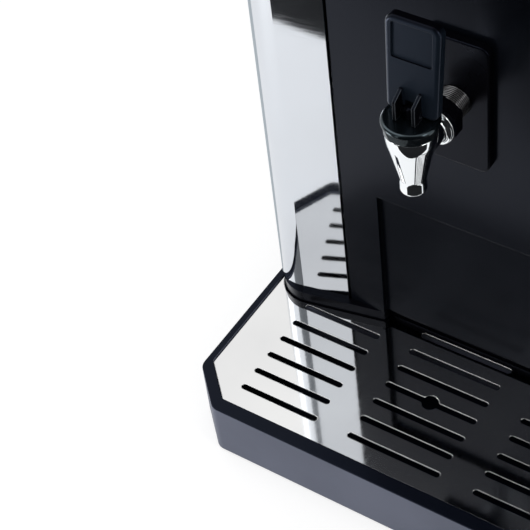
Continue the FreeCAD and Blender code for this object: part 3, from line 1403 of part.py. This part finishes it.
def fill_hose():
    y = TANK_Y + PORT_Y
    points = [
        (INLET_X, CHIMNEY_Y, INLET_Z + CHIMNEY_HEIGHT + HOSE_GAP), (INLET_X, CHIMNEY_Y, HOSE_TURN),
        (-PORT_X, y, HOSE_TURN), (-PORT_X, y, LID_ROOF + HOSE_GAP),
    ]
    return bent_tube(points, FILL_BEND, FILL_RADIUS, FILL_BORE)


def overflow_pipe():
    """From the lid's vent down behind the tank and out through the rear cover."""
    y = TANK_Y + PORT_Y
    drop_y = Y_REAR - OVERFLOW_DROP
    end = (OVERFLOW_X, Y_REAR + OVERFLOW_REACH, INLET_Z)
    points = [
        (PORT_X, y, LID_ROOF + HOSE_GAP), (PORT_X, y, HOSE_TURN),
        (OVERFLOW_X, drop_y, HOSE_TURN), (OVERFLOW_X, drop_y, INLET_Z), end,
    ]
    tube = bent_tube(points, OVERFLOW_BEND, OVERFLOW_PIPE, OVERFLOW_BORE)
    start = (OVERFLOW_X, Y_REAR + OVERFLOW_NECK, INLET_Z)
    return join(tube, pipe(OVERFLOW_SPIGOT, OVERFLOW_BORE, start, end))


def cable_gland():
    """Hollow clamp for a mains lead; no lead is fitted."""
    rear = Y_REAR + GLAND_REACH
    nut_end = Y_REAR + GLAND_NUT
    inside = Y_REAR - SHEET
    tube = rod(GLAND_RADIUS, (0, Y_REAR - GLAND_INSIDE, GLAND_Z), (0, nut_end, GLAND_Z))
    nut = facing(hexagon(0, GLAND_Z, GLAND_ACROSS), Y_REAR, nut_end)
    profile = [(0, nut_end, 0), (GLAND_CAP, nut_end, 0), (GLAND_CAP, rear, GLAND_ROUND), (0, rear, 0)]
    locknut = facing(hexagon(0, GLAND_Z, GLAND_ACROSS), inside - GLAND_NUT, inside)
    solid = join(tube, nut, turned_back(profile, 0, GLAND_Z), locknut)
    start = Y_REAR - GLAND_INSIDE - PAST
    return solid.cut(rod(GLAND_BORE, (0, start, GLAND_Z), (0, rear + PAST, GLAND_Z)))


def power_board():
    """Control board on four posts that stand on the plinth's floor."""
    z = FLOOR_TOP + POWER_LIFT
    top = z + BOARD
    x1 = POWER_HALF_X
    y0 = TANK_Y - POWER_HALF_Y
    y1 = TANK_Y + POWER_HALF_Y
    left = -x1 + PARTS_INSET
    right = x1 - PARTS_INSET
    front = y0 + PARTS_INSET
    back = y1 - PARTS_INSET
    parts = [
        block(left, left + RELAY_WIDTH, front, front + RELAY_DEPTH, top, top + RELAY_HEIGHT),
        block(right - TRANSFORMER_WIDTH, right, front, front + TRANSFORMER_DEPTH, top,
              top + TRANSFORMER_HEIGHT),
        block(right - STRIP_WIDTH, right, back - STRIP_DEPTH, back, top, top + STRIP_HEIGHT),
    ]
    y = TANK_Y + CAPACITOR_Y
    for x in (-CAPACITOR_X - CAPACITOR_HALF, -CAPACITOR_X + CAPACITOR_HALF):
        parts.append(rod(CAPACITOR_RADIUS, (x, y, top), (x, y, top + CAPACITOR_HEIGHT)))
    for x in (-x1 + POWER_INSET, x1 - POWER_INSET):
        for y in (y0 + POWER_INSET, y1 - POWER_INSET):
            parts.append(rod(POWER_POST, (x, y, FLOOR_TOP), (x, y, z)))
    return join(prism(rectangle(-x1, x1, y0, y1, POWER_ROUND), z, top), *parts)


def terminal_block():
    y = Y_REAR - PLINTH_REAR_GAP - TERMINAL_SETBACK
    half = TERMINAL_WIDTH / 2
    y0 = y - TERMINAL_DEPTH / 2
    y1 = y + TERMINAL_DEPTH / 2
    top = FLOOR_TOP + TERMINAL_HEIGHT
    wire_z = FLOOR_TOP + TERMINAL_WIRE_Z
    wells = []
    for x in (-TERMINAL_PITCH, 0, TERMINAL_PITCH):
        wells.append(rod(TERMINAL_SCREW, (x, y, top - TERMINAL_WELL), (x, y, top + PAST)))
        wells.append(rod(TERMINAL_WIRE, (x, y0 - PAST, wire_z), (x, y1 + PAST, wire_z)))
    return block(-half, half, y0, y1, FLOOR_TOP, top).cut(Part.makeCompound(wells))


NODES = {
    "base_plinth": base_plinth,
    "feet": feet,
    "body_wrap": body_wrap,
    "top_cover": top_cover,
    "rear_cover": rear_cover,
    "rear_screws": rear_screws,
    "front_panel": front_panel,
    "status_lights": status_lights,
    "status_board": status_board,
    "switch_housing": switch_housing,
    "switch_rocker": switch_rocker,
    "drip_tray": drip_tray,
    "drip_grille": drip_grille,
    "tap_body": tap_body,
    "tap_bonnet": tap_bonnet,
    "tap_jam_nut": tap_jam_nut,
    "tap_backplate": tap_backplate,
    "shank_washer": shank_washer,
    "shank_locknut": shank_locknut,
    "tap_stem": tap_stem,
    "lever_pin": lever_pin,
    "seat_cup": seat_cup,
    "tap_spring": tap_spring,
    "tap_lever": tap_lever,
    "tank": tank,
    "tank_gasket": tank_gasket,
    "tank_lid": tank_lid,
    "lid_bolts": lid_bolts,
    "insulation_jacket": insulation_jacket,
    "overheat_cutout": overheat_cutout,
    "reset_button": reset_button,
    "tank_stand": tank_stand,
    "heating_element": heating_element,
    "level_probes": level_probes,
    "temperature_probe": temperature_probe,
    "outlet_hose": outlet_hose,
    "hose_clips": hose_clips,
    "inlet_valve": inlet_valve,
    "valve_coil": valve_coil,
    "fill_hose": fill_hose,
    "overflow_pipe": overflow_pipe,
    "cable_gland": cable_gland,
    "power_board": power_board,
    "terminal_block": terminal_block,
}

os.makedirs("parts", exist_ok=True)
for name, build in NODES.items():
    shape = build()
    if not shape.isValid() or not shape.Solids:
        raise ValueError(name + " isn't a valid solid")
    shape.exportStep(os.path.join("parts", name + ".step"))
    print(name, "solids", len(shape.Solids), "volume", round(shape.Volume))
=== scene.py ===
import json
import math

import bpy
from mathutils import Euler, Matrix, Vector

# Looks of the countertop water boiler: node materials for every part, a pale table, soft studio
# light and the photograph's camera. Metres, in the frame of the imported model.

WHITE = (1.0, 1.0, 1.0, 1.0)

# Camera
CAMERA_PLACE = (0.3814, -0.7866, 0.9759)
CAMERA_TURN = (42.785, 5.457, 33.260)   # degrees about X, Y and Z
CAMERA_LENS = 118.27                    # millimetres
CAMERA_SENSOR = 36.0                    # millimetres
CAMERA_NEAR = 0.05                      # nothing nearer than this shows

# Table and world
TABLE_REACH = 4.0                       # from the middle to each side
TABLE_DROP = 0.0005                     # table's top, below the feet
TABLE_COLOUR = (0.45, 0.45, 0.45, 1.0)
TABLE_ROUGH = 0.9
TABLE_GLOW = 0.64                       # lifts the table to white where no shadow falls
WORLD_FILL = 0.7                        # light from the world on matt surfaces
WORLD_SEEN = 1.0                        # white in the background and in mirrors

# Lamps: place, width and watts
LAMPS = {
    "key": ((-1.3, -0.6, 2.2), 2.0, 14.0),
    "fill": ((1.9, -0.5, 1.6), 0.5, 5.0),
    "side": ((-0.5, -0.6, 0.12), 0.25, 1.2),
}
LAMP_AIM = Vector((0.0, -0.15, 0.2))

# Darker parts of the studio, which only metal and gloss mirror
STUDIO_DARK = (0.002, 0.0025, 0.004, 1.0)
STUDIO_GREY = (0.25, 0.26, 0.27, 1.0)
STUDIO_PALE = (0.58, 0.63, 0.66, 1.0)
WALL_Y = -1.3                           # front walls, with a white gap between them
WALL_HEIGHT = 5.0
DARK_WALL = (-0.28, TABLE_REACH)        # left and right end
GREY_WALL = (-3.6, -0.5)
GROUND_LIFT = 0.0005                    # sheets on the table, above the feet's level

# Edge of the dark ground in front of the machine, from left to right, and its far corners
DARK_GROUND = [(-TABLE_REACH, -1.98), (-0.221, -0.478), (-0.173, -0.457), (-0.094, -0.400),
               (0.05, -0.29), (0.10, -0.262), (0.17, -0.22), (0.243, -0.125),
               (TABLE_REACH, -0.125), (TABLE_REACH, WALL_Y), (-TABLE_REACH, WALL_Y)]

# Pale grey ground at the left, which the wing's rounded edge mirrors
PALE_GROUND = [(-0.16, -0.10), (-0.16, TABLE_REACH), (-TABLE_REACH, TABLE_REACH),
               (-TABLE_REACH, 0.3), (-0.45, -0.075)]

# Variation in the materials: how many clouds or streaks there are to a metre, and their detail
METAL_CLOUDS = (9.0, 4.0)
METAL_STREAKS = (60.0, 4.0)
PLASTIC_CLOUDS = (14.0, 5.0)
SKIN_DETAIL = 2.0
SKIN_GRAIN = 1800.0                     # grains to a metre
SKIN_DEPTH = 0.00003
METAL_EDGE = 0.0003                     # radius that softens sharp edges in the light
GRILLE_EDGE = 0.0008
PLASTIC_EDGE = 0.0004
UPWARD = (0.2, 0.8)                     # normal's Z, from upright faces to tops
SHARP = (0.8, 0.97)                     # how well a bevelled normal agrees, from edges to flats

# Looks of single parts
COOL = (0.55, 0.66, 1.0)                # tint of the sheen on black plastic
CHROME_LIGHT = (0.88, 0.91, 0.93)
CHROME_DARK = (0.85, 0.88, 0.90)
CHROME_ROUGH = 0.02
THREAD_PITCH = 0.0014
THREAD_START = -0.135                   # along Y, behind the jam nut
THREAD_DEPTH = 0.00016
# The thread's darker colour is painted shade on the shank
THREAD_COLOUR = (0.18, 0.18, 0.185)
THREAD_ROUGH = 0.22
# In front of RIB_ROOT the lever gets painted shade, and the ribs' edges get a painted glint, whose
# colour and width follow
RIB_ROOT = -0.1713                      # along Y, where the lever's ribs leave the paddle
RIB_GLINT_COLOUR = (0.16, 0.18, 0.20)
RIB_GLINT_WIDTH = 0.0007

# Parts whose look differs from their slot's in the record
OWN_LOOKS = {
    "body_wrap": "casing_steel",
    "drip_grille": "grille_steel",
    "drip_tray": "tray_black",
    "tap_body": "tap_chrome",
    "tap_lever": "tap_black",
    "tap_bonnet": "bonnet_black",
    "tap_backplate": "deep_black",
    "tap_jam_nut": "deep_black",
    "tap_stem": "deep_black",
    "lever_pin": "deep_black",
    "base_plinth": "deep_black",
}


class Look:
    """A material under construction: its shader, and short calls for the nodes that feed it."""

    def __init__(self, name, metallic=0.0, specular=0.5, tint=WHITE[:3]):
        self.name = name
        self.material = bpy.data.materials.new(name)
        self.material.use_nodes = True
        self.tree = self.material.node_tree
        self.shader = self.tree.nodes["Principled BSDF"]
        self.shader.inputs["Metallic"].default_value = metallic
        self.shader.inputs["Specular IOR Level"].default_value = specular
        self.shader.inputs["Specular Tint"].default_value = (*tint, 1.0)
        self.place = self.tree.nodes.new("ShaderNodeTexCoord").outputs["Object"]

    def put(self, value, socket):
        """Links an output to a socket, or sets the socket to a plain value."""
        if isinstance(value, bpy.types.NodeSocket):
            self.tree.links.new(value, socket)
        else:
            socket.default_value = value

    def feed(self, socket, output):
        self.tree.links.new(output, self.shader.inputs[socket])

    def node(self, kind, **inputs):
        made = self.tree.nodes.new(kind)
        for name, value in inputs.items():
            self.put(value, made.inputs[name.replace("_", " ")])
        return made

    def noise(self, scale, detail, stretch=(1.0, 1.0, 1.0)):
        """Cloudy variation about 1/scale metres across, drawn out along the axes by stretch."""
        spread = self.node("ShaderNodeMapping", Vector=self.place, Scale=stretch)
        made = self.node("ShaderNodeTexNoise", Vector=spread.outputs["Vector"], Scale=scale,
                         Detail=detail)
        return made.outputs["Fac"]

    def between(self, factor, low, high, start=0.3, end=0.7):
        """A number from low to high as the factor, often a noise, goes from start to end."""
        made = self.node("ShaderNodeMapRange", Value=factor, From_Min=start, From_Max=end,
                         To_Min=low, To_Max=high)
        return made.outputs["Result"]

    def maths(self, operation, first, second=0.0):
        """The result of a sum on one or two numbers."""
        made = self.tree.nodes.new("ShaderNodeMath")
        made.operation = operation
        for socket, value in zip(made.inputs, (first, second)):
            self.put(value, socket)
        return made.outputs["Value"]

    def colours(self, factor, first, second):
        """A colour between two, by a factor from 0 to 1."""
        made = self.tree.nodes.new("ShaderNodeMix")
        made.data_type = "RGBA"
        self.tree.links.new(factor, made.inputs["Factor"])
        for name, colour in (("A", first), ("B", second)):
            if not isinstance(colour, bpy.types.NodeSocket):
                colour = (*colour, 1.0)
            self.put(colour, made.inputs[name])
        return made.outputs["Result"]

    def clouds(self, spread):
        """Broad soft patches, from nought to one."""
        return self.between(self.noise(*spread), 0.0, 1.0)

    def along_y(self):
        return self.node("ShaderNodeSeparateXYZ", Vector=self.place).outputs["Y"]

    def upward(self):
        """One on faces that look up, and nought on upright ones."""
        normal = self.node("ShaderNodeTexCoord").outputs["Normal"]
        parts = self.node("ShaderNodeSeparateXYZ", Vector=normal)
        return self.between(parts.outputs["Z"], 0.0, 1.0, *UPWARD)

    def edges(self, radius):
        """One along sharp edges, fading to nought at a small distance."""
        soft = self.node("ShaderNodeBevel", Radius=radius).outputs["Normal"]
        sharp = self.tree.nodes.new("ShaderNodeNewGeometry").outputs["Normal"]
        turn = self.node("ShaderNodeVectorMath")
        turn.operation = "DOT_PRODUCT"
        self.tree.links.new(soft, turn.inputs[0])
        self.tree.links.new(sharp, turn.inputs[1])
        return self.between(turn.outputs["Value"], 1.0, 0.0, *SHARP)

    def grain(self, height, depth, soften=0.0):
        """Fine relief, over edges softened by a small radius."""
        bump = self.node("ShaderNodeBump", Height=height, Distance=depth)
        if soften:
            edge = self.node("ShaderNodeBevel", Radius=soften)
            self.tree.links.new(edge.outputs["Normal"], bump.inputs["Normal"])
        self.feed("Normal", bump.outputs["Normal"])


def metal(name, light, dark, rough, lines, depth, soften=METAL_EDGE):
    """Metal with fine lines along one direction, clouded by handling."""
    look = Look(name, metallic=1.0)
    streaks = look.noise(*METAL_STREAKS, lines)
    look.feed("Base Color", look.colours(look.clouds(METAL_CLOUDS), light, dark))
    look.feed("Roughness", look.between(streaks, *rough))
    look.grain(streaks, depth, soften)
    return look


def plastic(name, base, worn, rough, grain, depth, specular=0.5, tint=WHITE[:3]):
    """Moulded plastic or rubber with a fine skin, and a little lighter where it is handled."""
    look = Look(name, specular=specular, tint=tint)
    cloud = look.noise(*PLASTIC_CLOUDS)
    look.feed("Base Color", look.colours(look.between(cloud, 0.0, 1.0), base, worn))
    look.feed("Roughness", look.between(cloud, *rough))
    look.grain(look.noise(grain, SKIN_DETAIL), depth, PLASTIC_EDGE)
    return look


def two_toned(name, sides, tops, rough, specular, dark_front=None):
    """Moulded plastic with painted light on its upright faces and painted shade on its tops: pairs
    of colours, roughness and sheen.

    What stands in front of dark_front along Y gets the same painted shade as the tops, with a
    painted glint along its edges."""
    look = Look(name, tint=COOL)
    shade = look.clouds(PLASTIC_CLOUDS)
    # dark marks where the painted shade goes: the tops, and what stands in front of dark_front. It
    # also sets roughness and sheen
    dark = look.upward()
    if dark_front is not None:
        front = look.maths("LESS_THAN", look.along_y(), dark_front)
        dark = look.maths("MAXIMUM", dark, front)
    colour = look.colours(dark, look.colours(shade, *sides), look.colours(shade, *tops))
    if dark_front is not None:
        # Painted glint along the edges of what stands in front
        worn = look.maths("MULTIPLY", look.edges(RIB_GLINT_WIDTH), front)
        colour = look.colours(worn, colour, RIB_GLINT_COLOUR)
    look.feed("Base Color", colour)
    look.feed("Roughness", look.between(dark, *rough, 0.0, 1.0))
    look.feed("Specular IOR Level", look.between(dark, *specular, 0.0, 1.0))
    look.grain(look.noise(SKIN_GRAIN, SKIN_DETAIL), SKIN_DEPTH, PLASTIC_EDGE)
    return look


def threaded_chrome(name):
    """Chrome with the shank's thread, which starts behind the jam nut and runs along Y. The
    thread's metal is darkened as painted shade.
    """
    look = Look(name, metallic=1.0)
    along = look.along_y()
    thread = look.maths("GREATER_THAN", along, THREAD_START)
    smooth = look.colours(look.clouds(METAL_CLOUDS), CHROME_LIGHT, CHROME_DARK)
    look.feed("Base Color", look.colours(thread, smooth, THREAD_COLOUR))
    look.feed("Roughness", look.between(thread, CHROME_ROUGH, THREAD_ROUGH, 0.0, 1.0))
    turns = look.maths("MULTIPLY", along, 2.0 * math.pi / THREAD_PITCH)
    ridges = look.maths("MULTIPLY", look.maths("SINE", turns), thread)
    look.grain(ridges, THREAD_DEPTH)
    return look


def foam(name):
    """Needled insulation felt."""
    look = Look(name, specular=0.2)
    fibres = look.noise(700.0, 6.0, (1.0, 1.0, 0.25))
    look.feed("Base Color", look.colours(fibres, (0.07, 0.07, 0.08), (0.2, 0.2, 0.21)))
    look.feed("Roughness", look.between(fibres, 0.85, 0.98))
    look.grain(fibres, 0.0012)
    return look


def make_metals():
    return [
        metal("polished_steel", (0.80, 0.80, 0.80), (0.76, 0.76, 0.765),
              (0.03, 0.07), (1.0, 1.0, 14.0), 0.0000015),
        metal("grille_steel", (0.86, 0.86, 0.855), (0.75, 0.75, 0.755),
              (0.04, 0.08), (14.0, 1.0, 1.0), 0.0000015, soften=GRILLE_EDGE),
        metal("casing_steel", (0.66, 0.69, 0.735), (0.63, 0.655, 0.695),
              (0.03, 0.07), (1.0, 1.0, 14.0), 0.0000015),
        metal("plain_steel", (0.62, 0.62, 0.63), (0.52, 0.52, 0.53),
              (0.28, 0.42), (20.0, 1.0, 1.0), 0.00004),
        metal("brass", (0.72, 0.55, 0.27), (0.58, 0.42, 0.18),
              (0.2, 0.35), (1.0, 12.0, 1.0), 0.00003),
        threaded_chrome("tap_chrome"),
    ]


def make_blacks():
    return [
        plastic("panel_black", (0.001, 0.0015, 0.003), (0.002, 0.0025, 0.004),
                (0.20, 0.26), 900.0, 0.000005, specular=0.2, tint=COOL),
        plastic("deep_black", (0.001, 0.001, 0.002), (0.002, 0.002, 0.003),
                (0.22, 0.30), 2200.0, 0.00003, specular=0.16, tint=COOL),
        plastic("bonnet_black", (0.001, 0.002, 0.003), (0.002, 0.003, 0.004),
                (0.10, 0.16), 2200.0, 0.00001, specular=0.8, tint=(0.7, 0.9, 1.0)),
        plastic("plain_black", (0.018, 0.018, 0.020), (0.03, 0.03, 0.033),
                (0.40, 0.55), 1500.0, 0.00004),
        # Tray: textured sides and polished tops. The sides' far lighter colour is painted light
        # from the table, and the tops' near-black is painted shade
        two_toned("tray_black", ((0.100, 0.109, 0.145), (0.130, 0.141, 0.187)),
                  ((0.002, 0.003, 0.006), (0.004, 0.005, 0.009)), (0.5, 0.22), (0.35, 0.14)),
        # Lever: painted shade on its tops and on the ribs in front, and a painted glint on the
        # ribs' edges
        two_toned("tap_black", ((0.006, 0.010, 0.016), (0.010, 0.014, 0.021)),
                  ((0.001, 0.001, 0.002), (0.002, 0.002, 0.003)), (0.3, 0.3), (0.5, 0.1),
                  dark_front=RIB_ROOT),
        plastic("rubber", (0.02, 0.02, 0.02), (0.045, 0.043, 0.04),
                (0.75, 0.9), 1200.0, 0.00008, specular=0.3),
    ]


def make_other_plastics():
    return [
        plastic("silicone", (0.74, 0.72, 0.68), (0.80, 0.79, 0.76), (0.40, 0.55), 800.0, 0.00003),
        plastic("white_plastic", (0.80, 0.80, 0.77), (0.72, 0.71, 0.67),
                (0.35, 0.5), 1400.0, 0.00003),
        plastic("board_green", (0.02, 0.14, 0.06), (0.03, 0.19, 0.09), (0.25, 0.4), 600.0, 0.00003),
        plastic("lens", (0.5, 0.05, 0.02), (0.62, 0.08, 0.04), (0.05, 0.12), 300.0, 0.00002),
        plastic("red_plastic", (0.5, 0.025, 0.02), (0.6, 0.05, 0.04),
                (0.25, 0.38), 1600.0, 0.00003),
        foam("foam"),
    ]


def dress(frame):
    """Gives each part its own look, or the material of its slot in the record."""
    made = make_metals() + make_blacks() + make_other_plastics()
    materials = {look.name: look.material for look in made}
    slots = {part["node"]: part["material_slot"] for part in frame["record"]["subparts"]}
    for name, part in frame["nodes"].items():
        if not part.material_slots:
            part.data.materials.append(None)
        for held in part.material_slots:
            held.material = materials[OWN_LOOKS.get(name, slots[name])]


def plain_material(name, colour, rough):
    """A material for the stage, and its shader."""
    material = bpy.data.materials.new(name)
    material.use_nodes = True
    shader = material.node_tree.nodes["Principled BSDF"]
    shader.inputs["Base Color"].default_value = colour
    shader.inputs["Roughness"].default_value = rough
    return material, shader


def sheet(name, corners, material):
    """A flat piece of the stage, on its corners."""
    mesh = bpy.data.meshes.new(name)
    mesh.from_pydata(corners, [], [tuple(range(len(corners)))])
    mesh.materials.append(material)
    piece = bpy.data.objects.new(name, mesh)
    bpy.context.scene.collection.objects.link(piece)
    return piece


def seen_or_mirrored(tree):
    """One for camera, glossy and transmission rays, and nought for the rest."""
    path = tree.nodes.new("ShaderNodeLightPath")
    first = tree.nodes.new("ShaderNodeMath")
    second = tree.nodes.new("ShaderNodeMath")
    first.operation = second.operation = "MAXIMUM"
    tree.links.new(path.outputs["Is Camera Ray"], first.inputs[0])
    tree.links.new(path.outputs["Is Glossy Ray"], first.inputs[1])
    tree.links.new(first.outputs["Value"], second.inputs[0])
    tree.links.new(path.outputs["Is Transmission Ray"], second.inputs[1])
    return second.outputs["Value"]


def make_table():
    """A pale table, white where no shadow falls."""
    material, shader = plain_material("table", TABLE_COLOUR, TABLE_ROUGH)
    tree = material.node_tree
    shader.inputs["Specular IOR Level"].default_value = 0.0
    shader.inputs["Emission Color"].default_value = WHITE
    glow = tree.nodes.new("ShaderNodeMath")
    glow.operation = "MULTIPLY"
    tree.links.new(seen_or_mirrored(tree), glow.inputs[0])
    glow.inputs[1].default_value = TABLE_GLOW
    tree.links.new(glow.outputs["Value"], shader.inputs["Emission Strength"])
    signs = ((-1, -1), (1, -1), (1, 1), (-1, 1))
    sheet("table", [(x * TABLE_REACH, y * TABLE_REACH, -TABLE_DROP) for x, y in signs], material)


def studio_sheet(name, corners, colour):
    """A plain sheet that only metal and gloss mirror."""
    material = plain_material(name, colour, 1.0)[0]
    piece = sheet(name, corners, material)
    piece.visible_camera = False
    piece.visible_diffuse = False
    piece.visible_shadow = False
    piece.visible_transmission = False


def studio_ground(name, corners, colour):
    studio_sheet(name, [(x, y, GROUND_LIFT) for x, y in corners], colour)


def studio_wall(name, ends, colour):
    left, right = ends
    studio_sheet(name, [(left, WALL_Y, 0.0), (right, WALL_Y, 0.0),
                        (right, WALL_Y, WALL_HEIGHT), (left, WALL_Y, WALL_HEIGHT)], colour)


def make_studio():
    """Darker parts of the studio round the table."""
    studio_ground("studio_ground", DARK_GROUND, STUDIO_DARK)
    studio_ground("studio_side", PALE_GROUND, STUDIO_PALE)
    studio_wall("studio_wall_right", DARK_WALL, STUDIO_DARK)
    studio_wall("studio_wall_left", GREY_WALL, STUDIO_GREY)


def make_world():
    """A white studio all round, which lights matt surfaces softly."""
    world = bpy.data.worlds.new("studio")
    bpy.context.scene.world = world
    world.use_nodes = True
    tree = world.node_tree
    glow = tree.nodes["Background"]
    glow.inputs["Color"].default_value = WHITE
    level = tree.nodes.new("ShaderNodeMapRange")
    tree.links.new(seen_or_mirrored(tree), level.inputs["Value"])
    level.inputs["To Min"].default_value = WORLD_FILL
    level.inputs["To Max"].default_value = WORLD_SEEN
    tree.links.new(level.outputs["Result"], glow.inputs["Strength"])


def make_lamps():
    """Square soft lamps, aimed low at the machine's front."""
    for name, (place, width, watts) in LAMPS.items():
        light = bpy.data.lights.new(name, "AREA")
        light.size = width
        light.energy = watts
        piece = bpy.data.objects.new(name, light)
        piece.location = place
        piece.rotation_euler = (LAMP_AIM - Vector(place)).to_track_quat("-Z", "Y").to_euler()
        bpy.context.scene.collection.objects.link(piece)


def make_camera():
    """The photograph's camera: above, to the right, and slightly rolled."""
    lens = bpy.data.cameras.new("camera")
    lens.lens = CAMERA_LENS
    lens.sensor_width = CAMERA_SENSOR
    lens.clip_start = CAMERA_NEAR
    piece = bpy.data.objects.new("camera", lens)
    piece.location = CAMERA_PLACE
    piece.rotation_euler = Euler([math.radians(turn) for turn in CAMERA_TURN])
    bpy.context.scene.collection.objects.link(piece)
    bpy.context.scene.camera = piece


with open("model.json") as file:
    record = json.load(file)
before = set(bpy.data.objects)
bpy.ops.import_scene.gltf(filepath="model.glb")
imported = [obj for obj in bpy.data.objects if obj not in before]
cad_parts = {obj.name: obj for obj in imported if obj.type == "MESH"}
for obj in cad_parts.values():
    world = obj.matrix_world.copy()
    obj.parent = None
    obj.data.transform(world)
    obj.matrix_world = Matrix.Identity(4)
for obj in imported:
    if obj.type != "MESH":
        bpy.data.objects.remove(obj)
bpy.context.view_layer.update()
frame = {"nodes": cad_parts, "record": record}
dress(frame)
make_table()
make_studio()
make_world()
make_lamps()
make_camera()
bpy.context.scene.view_settings.view_transform = "Standard"
